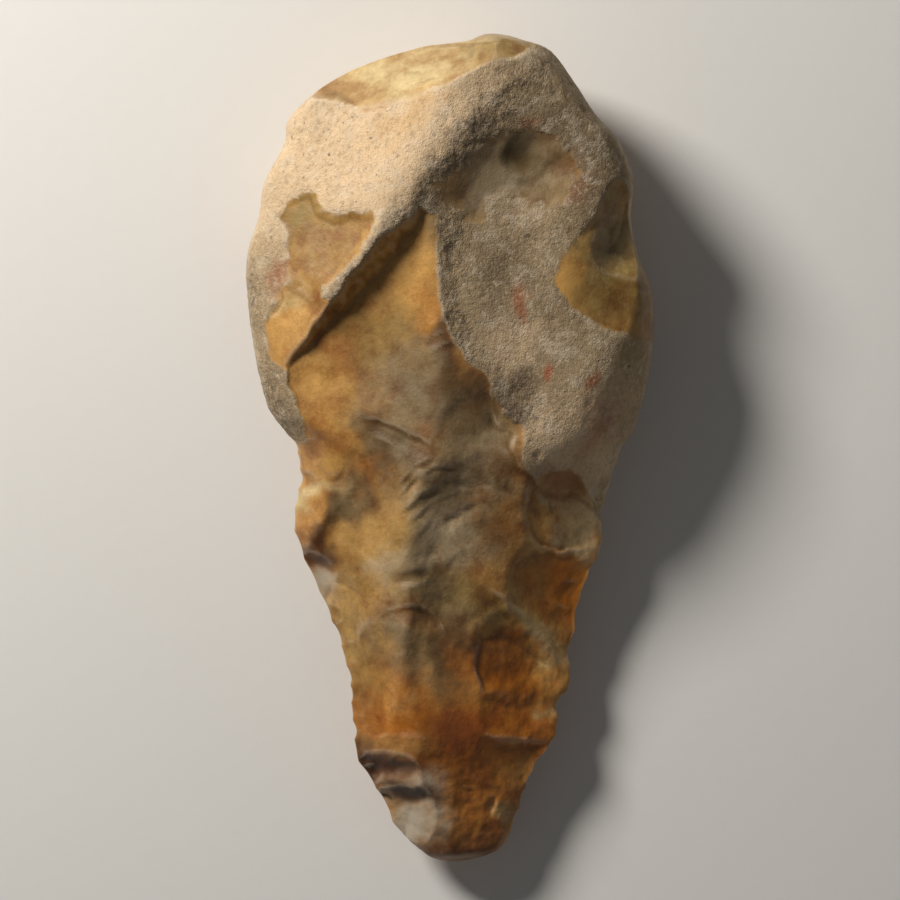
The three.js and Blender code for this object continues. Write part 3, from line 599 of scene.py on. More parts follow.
# Each face, front and back, is bare flint inside its outline here. Above it the rind stays, except
# where a scar cut it.
BARE = ([
    (-60, 2), (-36, 2), (-34, 2), (-32, -4), (-29, -6), (-25, -3), (-20, 8), (-8, 45), (-3, 48),
    (-3, 42), (-2.5, 36), (-1, 30), (2, 24), (5, 19.8), (8, 18), (10, 15), (11, 11), (12, 7),
    (14.5, 4), (17, -1), (19, -6), (21, -8), (25, -10.5), (30, -10), (34, -13), (36, -18), (60, -18),
    (60, -110), (-60, -110),
], [
    (-60, 48), (-30, 52), (-12, 40), (4, 46), (20, 30), (34, 40), (60, 36), (60, -110), (-60, -110),
])

ROWS = 350
FRONT_COLUMNS = 212
BACK_COLUMNS = 70
END_CROWDING = 0.3
SIDE_CROWDING = 0.55
FRONT_SEED, BACK_SEED = 100, 200
LEAST_THICKNESS = 0.12
# Height and size of the waves that make limits ragged, swell the faces and let colours wander.
RAGGED = ((0.35, 7), (0.09, 2.2))
SWELL = ((0.3, 26), (0.07, 9))
WANDER = ((2.2, 12), (1.0, 4))
# How deep a scar may cut before the rind is gone, how that varies, and over what depth it goes.
RIND_DEPTH = 0.38
RIND_UNEVEN = ((0.12, 3.2),)
RIND_EASE = 0.16
# The shares of the arch over which detail grows from nothing at the edge.
DETAIL_GROWS = 0.35
CHIPS_GROW = 0.2


def face_surface(face, x, y, seed):
    """Height of one face out from the edge plane, and how much of it is rind."""
    scars = SCARS[face]
    ragged_x = x + layered(x, y, RAGGED, seed)
    ragged_y = y + layered(x, y, RAGGED, seed + 2)
    inner = arch(face, x, y)
    hold = np.clip(inner / DETAIL_GROWS, 0, 1)
    height, natural = carve(face, scars, x, y, ragged_x, ragged_y)
    ragged = RIND_DEPTH + layered(x, y, RIND_UNEVEN, seed + 4)
    rind = np.clip((ragged - (natural - height)) / RIND_EASE + 0.5, 0, 1)
    rind *= np.clip(signed_distance(BARE[face], ragged_x, ragged_y) / 0.7 + 0.5, 0, 1)
    rind *= outside_scars(scars, ragged_x, ragged_y)
    height = height + layered(x, y, SWELL, seed + 5) * hold
    if face == FRONT:
        height += (edges(ragged_x, ragged_y) + pockets(x, y)) * hold
    height -= edge_chips(x, y, seed + 7) * np.clip(inner / CHIPS_GROW, 0, 1)
    sway = edge_sway(x, y) * (1 if face == FRONT else -1)
    return np.maximum(height, sway + LEAST_THICKNESS * np.clip(inner * 4, 0, 1)), rind


def surface_grid():
    """Places, heights and rind of every vertex, row by row from the point to the butt."""
    point_y = RIGHT[0, 1]
    butt_y = RIGHT[-1, 1]
    row = np.arange(1, ROWS) / ROWS
    spread = (1 - END_CROWDING) * (2 * row - 1) - END_CROWDING * np.cos(np.pi * row)
    place = ((butt_y + point_y) / 2 + (butt_y - point_y) / 2 * spread)[:, None]
    left = left_at(place)
    right = right_at(place)
    whole = []
    for face, columns, seed in ((FRONT, FRONT_COLUMNS, FRONT_SEED), (BACK, BACK_COLUMNS, BACK_SEED)):
        share = np.arange(columns + 1) / columns
        spread = (1 - SIDE_CROWDING) * (1 - 2 * share) + SIDE_CROWDING * np.cos(np.pi * share)
        x = (left + right) / 2 + (right - left) / 2 * spread
        y = np.broadcast_to(place, x.shape)
        height, rind = face_surface(face, x, y, seed)
        lift = EDGE_HEIGHT + EDGE_CLIMB * y
        if face == FRONT:
            z = lift + height
            z[:, [0, -1]] = (lift + edge_sway(x, y))[:, [0, -1]]
        else:
            z = np.maximum(lift - height, 0)
        near_left = np.clip(1 - (x - left) / BITE_REACH, 0, 1)
        near_right = np.clip(1 - (right - x) / BITE_REACH, 0, 1)
        x = x + bites(place, LEFT_TURN) * near_left ** 2 - bites(place, RIGHT_TURN) * near_right ** 2
        whole.append((x, y, z, rind))
    return [np.concatenate([front, back[:, -2:0:-1]], axis=1) for front, back in zip(*whole)]


def ring_faces(rows, columns):
    """Quads between neighbouring rings, then a fan of triangles at each end."""
    row, column = np.meshgrid(np.arange(rows - 1), np.arange(columns), indexing="ij")
    after = (column + 1) % columns
    quads = np.stack([row * columns + column, (row + 1) * columns + column,
                      (row + 1) * columns + after, row * columns + after], axis=-1).reshape(-1, 4)
    first = np.arange(columns)
    second = (first + 1) % columns
    point = rows * columns
    last = (rows - 1) * columns
    point_fan = np.stack([np.full(columns, point), first, second], axis=-1)
    butt_fan = np.stack([np.full(columns, point + 1), last + second, last + first], axis=-1)
    return quads.tolist() + point_fan.tolist() + butt_fan.tolist()


def blurred(z, passes):
    """The heights smoothed over their neighbours, along and round the rings."""
    for _ in range(passes):
        around = (np.roll(z, 1, axis=1) + np.roll(z, -1, axis=1)) / 2
        padded = np.concatenate([z[:1], z, z[-1:]], axis=0)
        lengthways = (padded[:-2] + padded[2:]) / 2
        z = (2 * z + around + lengthways) / 4
    return z


# ==== making the mesh ====
# Ridges and creases are found against heights smoothed this often, and count fully at this height.
SHADE_AND_WEAR_PASSES = 5
SHADE_AND_WEAR_HEIGHT = 0.12
LEAST_UNEVEN = 0.35


def stone_mesh(palette):
    """The closed surface, in metres, with the rind, and the wear and painted highlight and shade of
    ridges and creases, kept on its points.
    """
    x, y, z, rind = surface_grid()
    rows, columns = z.shape
    # Above 0 on ridges, lightened as wear and painted highlight; below 0 in creases, darkened as dirt and
    # painted shade.
    wear_and_shade = np.clip((z - blurred(z, SHADE_AND_WEAR_PASSES)) / SHADE_AND_WEAR_HEIGHT, -1, 1)
    point = (RIGHT[0, 0], RIGHT[0, 1])
    butt = (RIGHT[-1, 0], RIGHT[-1, 1])
    ends = [(px, py, EDGE_HEIGHT + EDGE_CLIMB * py) for px, py in (point, butt)]
    places = np.concatenate([np.stack([x, y, z], axis=-1).reshape(-1, 3), np.array(ends)])
    places[:, 0] -= (places[:, 0].min() + places[:, 0].max()) / 2
    places[:, 1] -= (places[:, 1].min() + places[:, 1].max()) / 2
    places[:, 0] *= BREADTH / np.ptp(places[:, 0])
    places[:, 1] *= LENGTH / np.ptp(places[:, 1])
    mesh = bpy.data.meshes.new(NODE + "_stone")
    mesh.from_pydata((places * MM).tolist(), [], ring_faces(rows, columns))
    front = np.zeros((rows, columns))
    front[:, :FRONT_COLUMNS + 1] = 1
    keep_on_points(mesh, "rind", rind, (0, 1))
    keep_on_points(mesh, "wear_and_shade", wear_and_shade, (0, 0))
    keep_on_points(mesh, "clean", spots(x, y, CLEAN) * front, (0, 0))
    keep_on_points(mesh, "coarse", spots(x, y, COARSE) * front, (0, 0))
    keep_on_points(mesh, "uneven", spots(x, y, UNEVEN) * front + LEAST_UNEVEN,
                   (1, LEAST_UNEVEN))
    tint = stone_tint(x, y, rind, front, palette)
    layer = mesh.attributes.new("tint", "FLOAT_COLOR", "POINT")
    flat = np.concatenate([tint.reshape(-1, 3), tint[0, :1], tint[-1, :1]])
    flat = np.concatenate([flat, np.ones((len(flat), 1))], axis=1)
    layer.data.foreach_set("color", flat.astype(np.float32).ravel())
    mesh.polygons.foreach_set("use_smooth", np.ones(len(mesh.polygons), bool))
    mesh.update()
    mesh.validate()
    return mesh


def keep_on_points(mesh, name, values, ends):
    layer = mesh.attributes.new(name, "FLOAT", "POINT")
    layer.data.foreach_set("value", np.concatenate([values.ravel(), ends]).astype(np.float32))


# ---- colours ----
def linear(colour):
    """A colour written as #rrggbb, as the linear values that shaders use."""
    parts = [int(colour[i:i + 2], 16) / 255 for i in (1, 3, 5)]
    return tuple(c / 12.92 if c <= 0.04045 else ((c + 0.055) / 1.055) ** 2.4 for c in parts)


# Where the rind is coarse, the flint clean and the flint uneven: middle, half length, half width, way.
COARSE = [
    (5.5, 73.5, 30, 4.4, 49), (-14, 52, 8, 3, 60), (-22, 43, 16, 2.2, 51), (16, 10, 8, 6, 60),
    (-44, 13, 9, 4, 100), (-47, 36, 8, 2, 90), (0, 50, 10, 3, 95), (1, 30, 10, 3, 110),
]
CLEAN = [
    (-8, -88, 9, 7, -110), (-31, -31.5, 5, 4, 100), (17.5, 69.5, 6, 6, 0), (12, 66, 9, 6, 40),
    (27, 40, 5, 5, 0), (-36, 56, 5, 4, 60),
]
UNEVEN = [
    (0, -88, 20, 16, 0), (14, -52, 22, 14, -40), (-18, -42, 16, 10, 90), (30, -25, 16, 8, 90),
    (-4, -36, 10, 6, 0), (8, -74, 16, 8, 0), (4, -12, 10, 8, 40),
]


def spots(x, y, places):
    return np.max([soft_spot(x, y, *place) for place in places], axis=0)


# Soft patches of colour: name, strength, middle, half length, half width and way.
RIND_PATCHES = [
    ("pink_grey", 1.0, 26, 40, 60, 26, 80), ("cream", 1.0, -22, 72, 34, 24, 40),
    ("honey", 0.35, -10, 78, 13, 4, 35), ("cream", 0.7, 15, 26, 12, 7, 90),
    # The cream strip at (2, 79) is a painted highlight on the lit side of the crest.
    ("cream", 0.1, 14, 56, 12, 6, 30), ("cream", 0.7, 2, 79, 13, 3.5, 40),
    # The dark rind along the far side of the crest at (0, 68.4), and at (33, 64) and (30, 74) in the
    # right hollow, is painted shade over weathered rind.
    ("dark_rind_and_shade", 0.75, 0, 68.4, 30, 2.8, 49), ("dark_rind_and_shade", 0.8, -22, 43, 17, 1.6, 51),
    ("dark_rind_and_shade", 0.75, 33, 64, 25, 11, -60), ("dark_rind_and_shade", 0.45, 29, 32, 20, 10, 80),
    ("dark_rind_and_shade", 0.95, 16, 11, 9, 8, 60), ("dark_rind_and_shade", 0.3, -42, 12, 14, 6, 70),
    ("dark_rind_and_shade", 0.6, 12, 42, 18, 8, 95), ("dark_rind_and_shade", 0.3, 30, 74, 12, 8, -50),
    ("cream", 0.95, 31, 0, 15, 11, 80), ("cream", 0.3, 40, 14, 10, 6, 80),
    ("rust", 0.4, 37, 7, 7, 4, 60), ("rust", 0.3, 33, 1, 7, 4, 60),
    ("rust", 0.7, 17, 34, 6, 1.3, 100), ("rust", 0.9, 23.5, 18, 2.4, 1.1, 80),
    ("rust", 0.7, 34, 16, 2.6, 1.5, 60), ("rust", 0.5, -41, 42, 5, 3, 80),
    ("rust", 0.5, 19, 77, 3, 1.3, 20), ("rust", 0.25, 30, 62, 6, 3, 30),
]
FLINT_PATCHES = [
    ("pale_flint_and_edge_light", 1.0, -8, 91, 34, 10, 15), ("olive", 0.9, 12, 95, 9, 6, 0),
    ("olive", 0.55, -27, 47, 17, 12, 40), ("honey", 0.4, -19, 51, 5, 3, 50),
    ("pale_flint_and_edge_light", 0.5, -31, 47, 6, 4, 80), ("olive", 0.95, -36, 56, 6, 4, 60),
    ("honey", 0.9, -37, 32, 8, 7, 60), ("ochre", 1.0, -18, 26, 34, 20, 60),
    ("ochre", 0.8, -22, 35, 18, 3, 50), ("honey", 0.8, -8, 41, 16, 6, 80),
    ("honey", 0.5, -30, 12, 14, 7, 80), ("olive", 0.6, -15, 26, 12, 8, 40),
    ("orange_brown", 0.5, -5, 32, 8, 4, 80), ("honey", 1.0, -28, 4, 11, 6, 80),
    ("dark_olive", 1.0, -2, 24, 8, 6, 60), ("deep_brown", 0.7, -1, 25, 7, 5, 60),
    ("grey_flint", 1.0, -9, 14, 13, 12, 40), ("dark_olive", 0.9, 2, 12, 8, 8, 60),
    ("grey_flint", 0.95, 6, 2, 14, 10, 60), ("dark_olive", 0.7, 8, 8, 8, 6, 60),
    ("grey_flint", 0.95, -2, -18, 22, 14, 80), ("grey_flint", 1.0, -13, 0, 11, 7, -30),
    ("grey_flint", 0.7, -12, -18, 8, 8, 60), ("grey_flint", 0.6, -24, -9, 5, 4, 60),
    ("dark_olive", 0.7, -16, 3, 9, 5, -25), ("dark_olive", 0.15, 14, -18, 12, 9, 80),
    ("pale_grey", 0.9, 9, -5, 8, 5, 60), ("pale_grey", 0.9, 0, -24, 13, 6, 60),
    ("olive", 1.0, 40, 42, 20, 14, 80), ("deep_brown", 0.4, 38, 32, 12, 5, 20),
    ("grey_flint", 0.7, 39, 50, 10, 7, 60), ("honey", 0.8, 27, 40, 4, 5, 0),
    ("grey_flint", 1.0, 17, 67, 26, 18, 40), ("pale_grey", 0.6, 13, 66, 16, 8, 45),
    ("fresh", 0.5, 12, 61, 7, 2.5, 20), ("dark_olive", 1.0, 17.5, 69.5, 7, 7, 0),
    # The deep and dark brown at (-29, -19) and (-30, -20) are partly painted shade on the low side of the
    # rough ridge.
    ("orange_brown", 1.0, -27, -18, 12, 8, 50), ("deep_brown", 1.0, -29, -19, 9, 5.5, 55),
    ("brown_stain_and_step_shade", 0.9, -30, -20, 8, 4.5, 55), ("orange_brown", 0.4, -20, -5, 6, 3, 60),
    ("grey_flint", 0.8, -23, -12, 6, 5, 60), ("olive", 0.9, -18, -22, 11, 8, 40),
    ("ochre", 0.6, -18, -20, 12, 6, 60), ("dark_olive", 0.7, -22, -13, 7, 6, 50),
    ("pale_grey", 0.7, -14, -27, 7, 4, 40), ("ochre", 0.9, -32, -10, 10, 4, 80),
    ("cream", 1.0, 30, -17, 8, 7, 0), ("honey", 0.45, 30, -17, 8, 7, 0),
    ("honey", 0.9, 22, -17, 8, 4, -70), ("pale_flint_and_edge_light", 0.6, 22.5, -12, 4, 1.6, -40),
    ("orange_brown", 1.0, 27, -34, 12, 9, 100), ("honey", 1.0, 18, -39, 15, 3, -50),
    ("pale_flint_and_edge_light", 0.8, 21, -43, 12, 2, -52), ("pale_flint_and_edge_light", 0.6, 31, -20, 5, 5, 0),
    ("olive", 0.8, 4, -37, 16, 7, 0), ("dark_olive", 0.7, -6, -32, 7, 4, 20),
    ("grey_flint", 0.5, 0, -40, 8, 5, 0), ("ochre", 0.6, 12, -33, 8, 4, -50),
    ("olive", 0.6, -25, -42, 12, 7, 90), ("grey_flint", 0.5, -3, -50, 12, 8, 90),
    ("dark_olive", 0.9, 0, -52, 12, 6, 90), ("grey_flint", 0.85, -14, -46, 13, 6, 90),
    ("dark_olive", 0.5, -14, -45, 9, 4.5, 90), ("brown_stain_and_step_shade", 0.3, -1, -52, 9, 5, 90),
    ("orange_brown", 1.0, 14, -54, 12, 9, -20), ("deep_brown", 0.6, 13, -52, 9, 7, -20),
    ("orange_brown", 1.0, -2, -70, 24, 12, 0), ("deep_brown", 0.6, -3, -69, 9, 7, 60),
    ("deep_brown", 0.6, -18, -62, 8, 5, 80), ("orange_brown", 0.9, -18, -60, 12, 8, 90),
    ("olive", 0.7, -20, -54, 10, 6, 90), ("deep_brown", 0.35, -22, -62, 6, 3, 90),
    ("orange_brown", 0.7, 18, -68, 12, 8, 0), ("honey", 0.35, -14, -60, 7, 2, 90),
    # The deep and dark brown from (-16, -77) to (-23, -73) are partly painted shade under the step of the
    # point band.
    ("olive", 0.6, -14, -71, 10, 2.2, 0), ("deep_brown", 1.0, -16, -77, 9, 4.5, -8),
    ("brown_stain_and_step_shade", 1.0, -14, -75.6, 9, 2.2, -4), ("brown_stain_and_step_shade", 0.9, -20, -77.5, 6, 4.5, -50),
    ("brown_stain_and_step_shade", 0.6, -23, -73, 4, 3, 60), ("orange_brown", 0.7, 6, -86, 10, 12, 80),
    ("deep_brown", 0.8, 2, -97, 10, 5, 0), ("fresh", 1.0, -9, -89, 11, 7.5, -105),
    # The dark brown strip at (-9, -82.4) is painted shade along the top of the point chip.
    ("brown_stain_and_step_shade", 1.0, -9, -82.4, 8, 1.7, -6), ("fresh", 0.9, -31, -31.5, 5, 3.4, 100),
    # The thin pale yellow strips at (14, -88), (25, -64), (28.5, -51), (-36.5, -10) and (-39, 36), like
    # those at (22.5, -12) and (21, -43), are painted highlights along lit rims and edges over pale edge
    # flint.
    ("pale_flint_and_edge_light", 0.7, 14, -88, 2.5, 4, 80), ("pale_flint_and_edge_light", 0.5, 25, -64, 2, 5, 85),
    ("pale_flint_and_edge_light", 0.5, 28.5, -51, 2, 4, 85), ("pale_flint_and_edge_light", 0.8, -36.5, -10, 2, 12, 88),
    ("pale_flint_and_edge_light", 0.5, -39, 36, 3, 8, 80),
]
BACK_PATCHES = [
    ("grey_flint", 0.8, -10, 10, 34, 18, 70), ("ochre", 0.8, 22, 0, 40, 16, 80),
    ("orange_brown", 0.8, 2, -66, 30, 24, 90), ("olive", 0.6, -24, 40, 20, 14, 60),
    ("pale_flint_and_edge_light", 0.6, 18, 50, 16, 12, 20),
]


def painted(x, y, wander, palette, base, patches):
    """One colour laid over with patches, whose rims wander less the narrower they are."""
    colour = np.broadcast_to(palette[base], x.shape + (3,)).copy()
    for name, strength, px, py, length, width, way in patches:
        loose = min(width / 6, 1)
        share = soft_spot(x + wander[0] * loose, y + wander[1] * loose, px, py, length, width, way)
        colour += (palette[name] - colour) * (strength * share)[..., None]
    return colour


def stone_tint(x, y, rind, front, palette):
    """The colour of every point: rind and bare flint each painted with their own patches."""
    wander = (layered(x, y, WANDER, 31), layered(x, y, WANDER, 33))
    colours = [painted(x, y, wander, palette, base, patches) for base, patches in (
        ("pink_grey", RIND_PATCHES), ("cream", []), ("ochre", FLINT_PATCHES), ("ochre", BACK_PATCHES))]
    share = rind[..., None]
    side = front[..., None]
    rind_colour = colours[0] * side + colours[1] * (1 - side)
    flint_colour = colours[2] * side + colours[3] * (1 - side)
    return rind_colour * share + flint_colour * (1 - share)


# ==== node helpers ====
def sign(operation, turned=False):
    """The method behind one plain Python sign; turned when the socket stands on its right."""
    def apply(self, other):
        return self.math(operation, *((other, self) if turned else (self, other)))
    return apply


class Socket:
    """A node's output that can be added, multiplied and so on with plain Python signs."""

    def __init__(self, nodes, socket):
        self.nodes = nodes
        self.socket = socket

    def math(self, operation, *values, clamp=False):
        node = self.nodes.tree.nodes.new("ShaderNodeMath")
        node.operation = operation
        node.use_clamp = clamp
        for slot, value in zip(node.inputs, values):
            self.nodes.feed(slot, value)
        return Socket(self.nodes, node.outputs[0])

    __add__ = sign("ADD")
    __radd__ = sign("ADD", True)
    __sub__ = sign("SUBTRACT")
    __rsub__ = sign("SUBTRACT", True)
    __mul__ = sign("MULTIPLY")
    __rmul__ = sign("MULTIPLY", True)
    __rtruediv__ = sign("DIVIDE", True)

    def beside(self, name):
        """Another output of the same node."""
        return Socket(self.nodes, self.socket.node.outputs[name])

    def clamped(self):
        return self.math("ADD", self, 0.0, clamp=True)

    def rise(self, low, high):
        """0 below low, 1 above high and smooth between; high below low turns it round."""
        down = high < low
        settings = {"interpolation_type": "SMOOTHSTEP"}
        values = {"Value": self, "From_Min": min(low, high), "From_Max": max(low, high),
                  "To_Min": float(down), "To_Max": float(not down)}
        return self.nodes.add("ShaderNodeMapRange", settings, **values)


class Nodes:
    """Adds nodes to one tree: a type, its settings, and values or links for its sockets."""

    def __init__(self, tree):
        self.tree = tree
        tree.nodes.clear()

    def feed(self, slot, value):
        if isinstance(value, Socket):
            self.tree.links.new(value.socket, slot)
        else:
            slot.default_value = value

    def add(self, kind, settings=None, output=0, **inputs):
        node = self.tree.nodes.new(kind)
        for name, value in (settings or {}).items():
            setattr(node, name, value)
        for name, value in inputs.items():
            self.feed(self.slot(node, name), value)
        outputs = [s for s in node.outputs if s.enabled]
        if isinstance(output, str):
            return Socket(self, next(s for s in outputs if s.name == output))
        return Socket(self, outputs[output]) if outputs else node

    @staticmethod
    def slot(node, name):
        wanted = name.replace("_", " ")
        for slot in node.inputs:
            if slot.enabled and slot.name == wanted:
                return slot
        raise KeyError(f"{node.bl_idname} has no input {wanted}")

    def noise(self, where, size, detail=2.0, rough=0.5, offset=0.0):
        """Cloudy values about 0 to 1, with clouds about `size` metres across."""
        return self.add("ShaderNodeTexNoise", {"noise_dimensions": "4D"}, Vector=where, W=offset,
                        Scale=1 / size, Detail=detail, Roughness=rough)

    def mix(self, share, first, second, blend="MIX"):
        """Two colours mixed by a share."""
        return self.add("ShaderNodeMix", {"data_type": "RGBA", "blend_type": blend}, output="Result",
                        Factor=share, A=first, B=second)


# ==== relief ====
RELIEF_INPUTS = {
    "Geometry": "Geometry", "Material": "Material", "Seed": "Float", "Grain Height": "Float",
    "Grain Size": "Float", "Pit Depth": "Float", "Pit Spacing": "Float", "Flint Waves": "Float",
}


def relief_tree():
    """Roughens a stone: grains and pits where its rind is whole, faint waves on bare flint."""
    tree = bpy.data.node_groups.new("stone_relief", "GeometryNodeTree")
    nodes = Nodes(tree)
    for name, kind in RELIEF_INPUTS.items():
        tree.interface.new_socket(name, in_out="INPUT", socket_type="NodeSocket" + kind)
    tree.interface.new_socket("Geometry", in_out="OUTPUT", socket_type="NodeSocketGeometry")
    given = {name: nodes.add("NodeGroupInput", output=name) for name in RELIEF_INPUTS}
    where = nodes.add("GeometryNodeInputPosition")
    normal = nodes.add("GeometryNodeInputNormal")
    level = nodes.add("ShaderNodeSeparateXYZ", output="Z", Vector=where)
    rind, coarse, uneven = (
        nodes.add("GeometryNodeInputNamedAttribute", {"data_type": "FLOAT"}, Name=name)
        for name in ("rind", "coarse", "uneven"))

    def clouds(size, detail):
        return nodes.noise(where, size, detail, 0.6, given["Seed"]) - 0.5

    # pits are round hollows in a share of the cells of a random pattern
    cell = nodes.add("ShaderNodeTexVoronoi", output="Distance", Vector=where,
                     Scale=1 / given["Pit Spacing"])
    pick = nodes.add("FunctionNodeSeparateColor", Color=cell.beside("Color"))
    pits = cell.rise(0.42, 0.12) * pick.rise(0.62, 0.7)

    grain = clouds(given["Grain Size"], 3.0) * 2.0
    lumps = clouds(given["Grain Size"] * 2.5, 2.0) * 2.0
    chipped = clouds(given["Grain Size"] * 3.5, 2.0)
    lift = (grain + lumps * (0.3 + coarse * 0.5)) * given["Grain Height"] * (coarse * 1.7 + 0.55)
    lift = rind * (lift - pits * given["Pit Depth"])
    lift = lift + (1.0 - rind) * uneven * chipped * given["Flint Waves"]
    # the part that lies on the board stays flat
    held = level.rise(0.0, 0.0012)
    shift = nodes.add("ShaderNodeVectorMath", {"operation": "SCALE"}, Vector=normal, Scale=lift * held)
    moved = nodes.add("GeometryNodeSetPosition", Geometry=given["Geometry"], Offset=shift)
    real = nodes.add("GeometryNodeRealizeInstances", Geometry=moved)
    done = nodes.add("GeometryNodeSetMaterial", Geometry=real, Material=given["Material"])
    nodes.add("NodeGroupOutput", Geometry=done)
    return tree


def set_inputs(modifier, values):
    for item in modifier.node_group.interface.items_tree:
        if item.in_out == "INPUT" and item.name in values:
            modifier[item.identifier] = values[item.name]


def solid_from(piece, name):
    """The piece with its modifiers worked out, as a plain mesh."""
    whole = bpy.context.evaluated_depsgraph_get()
    mesh = bpy.data.meshes.new_from_object(piece.evaluated_get(whole), depsgraph=whole)
    mesh.name = name
    return mesh


# ==== materials ====
def flint_material(settings):
    """Stained bare flint and grainy rind, told apart by the shares kept on the stone's points."""
    material = bpy.data.materials.new("flint")
    material.use_nodes = True
    nodes = Nodes(material.node_tree)
    where = nodes.add("ShaderNodeTexCoord", output="Object")
    colour = nodes.add("ShaderNodeAttribute", {"attribute_name": "tint"}, output="Color")
    rind, wear_and_shade, coarse, clean = (
        nodes.add("ShaderNodeAttribute", {"attribute_name": name}, output="Fac")
        for name in ("rind", "wear_and_shade", "coarse", "clean"))
    bare = 1 - rind
    stained = bare * (1 - clean)
    drift = nodes.noise(where, 0.03, 3, 0.5, 8)
    clouds = nodes.noise(where, 0.014, 6, 0.62, 1)
    mottle = nodes.noise(where, 0.0042, 5, 0.68, 2)
    stain = nodes.noise(where, 0.0024, 5, 0.7, 6)
    lumps = nodes.noise(where, 0.0019, 4, 0.65, 9)
    specks = nodes.noise(where, 0.0016, 3, 0.6, 5)
    grain = nodes.noise(where, 0.0011, 3, 0.75, 3)
    fine = nodes.noise(where, 0.00045, 2, 0.7, 4)
    holes = fine.rise(0.7, 0.78) * drift.rise(0.35, 0.6)

    deep = settings.deep_stain
    pale = settings.pale_cloud
    layers = [
        # stains and clouds in the flint
        (stained * clouds.rise(0.48, 0.64) * 0.8, deep, "MULTIPLY"),
        (stained * clouds.rise(0.5, 0.36) * 0.7, pale, "MULTIPLY"),
        (stained * mottle.rise(0.5, 0.68) * 0.45, pale, "MULTIPLY"),
        (stained * mottle.rise(0.5, 0.34) * 0.45, deep, "MULTIPLY"),
        (stained * stain.rise(0.5, 0.72) * drift.rise(0.4, 0.62) * 0.5, deep, "MULTIPLY"),
        (stained * grain.rise(0.5, 0.68) * 0.25, deep, "MULTIPLY"),
        (stained * grain.rise(0.5, 0.34) * 0.2, pale, "MULTIPLY"),
        (stained * (grain.rise(0.67, 0.75) * 0.4 + holes * 0.6), settings.dirt_and_crease_shade, "MIX"),
        # grains and specks in the rind
        (rind * mottle.rise(0.52, 0.36) * 0.35, settings.pale_grain_and_ridge_light, "MIX"),
        (rind * clouds.rise(0.5, 0.64) * (0.12 + coarse * 0.4), settings.grain_dark, "MIX"),
        (rind * grain.rise(0.5, 0.64) * (0.3 + coarse * 0.45), settings.grain_dark, "MIX"),
        (rind * coarse * lumps.rise(0.5, 0.6) * 0.45, settings.speck, "MIX"),
        (rind * grain.rise(0.46, 0.3) * 0.5, settings.pale_grain_and_ridge_light, "MIX"),
        (rind * specks.rise(0.62, 0.7) * drift.rise(0.42, 0.56) * 0.7, settings.speck, "MIX"),
        # ridges lightened with wear and a painted highlight, creases darkened with dirt and painted shade
        (wear_and_shade.rise(0.1, 0.9) * 0.18, settings.pale_grain_and_ridge_light, "MIX"),
        (wear_and_shade.rise(-0.1, -0.9) * 0.3, settings.dirt_and_crease_shade, "MIX"),
    ]
    for share, other, blend in layers:
        colour = nodes.mix(share, colour, (*other, 1), blend)

    rough = 0.52 + rind * 0.36 + (mottle - 0.5) * 0.3
    rind_relief = grain * (0.9 + coarse) + fine * 0.5
    bare_relief = mottle * 0.5 + specks * 0.2 + grain * 0.15 + fine * 0.1
    bumped = nodes.add("ShaderNodeBump", Strength=0.8, Distance=0.0006,
                       Height=rind * rind_relief + bare * bare_relief)
    shader = nodes.add("ShaderNodeBsdfPrincipled", Base_Color=colour, Roughness=rough.clamped(),
                       IOR=1.5, Coat_Weight=bare * 0.06, Coat_Roughness=0.3, Normal=bumped)
    nodes.add("ShaderNodeOutputMaterial", Surface=shader)
    return material


def floor_material(colour):
    material = bpy.data.materials.new("pale_board")
    material.use_nodes = True
    nodes = Nodes(material.node_tree)
    where = nodes.add("ShaderNodeTexCoord", output="Object")
    fibre = nodes.noise(where, 0.004, 3, 0.6, 7)
    shade = nodes.mix(fibre * 0.12, (*colour, 1), (*(c * 0.8 for c in colour), 1))
    bumped = nodes.add("ShaderNodeBump", Strength=0.1, Distance=0.0004, Height=fibre)
    shader = nodes.add("ShaderNodeBsdfPrincipled", Base_Color=shade, Roughness=0.8 + fibre * 0.1,
                       Normal=bumped)
    nodes.add("ShaderNodeOutputMaterial", Surface=shader)
    return material


# ==== settings ====
def tone(name, words, colour):
    return FloatVectorProperty(name=name, description=words, subtype="COLOR", size=3, min=0, max=1,
                               default=linear(colour))


def length_of(name, words, size):
    return FloatProperty(name=name, description=words, default=size, min=0, unit="LENGTH",
                         subtype="DISTANCE", precision=5)


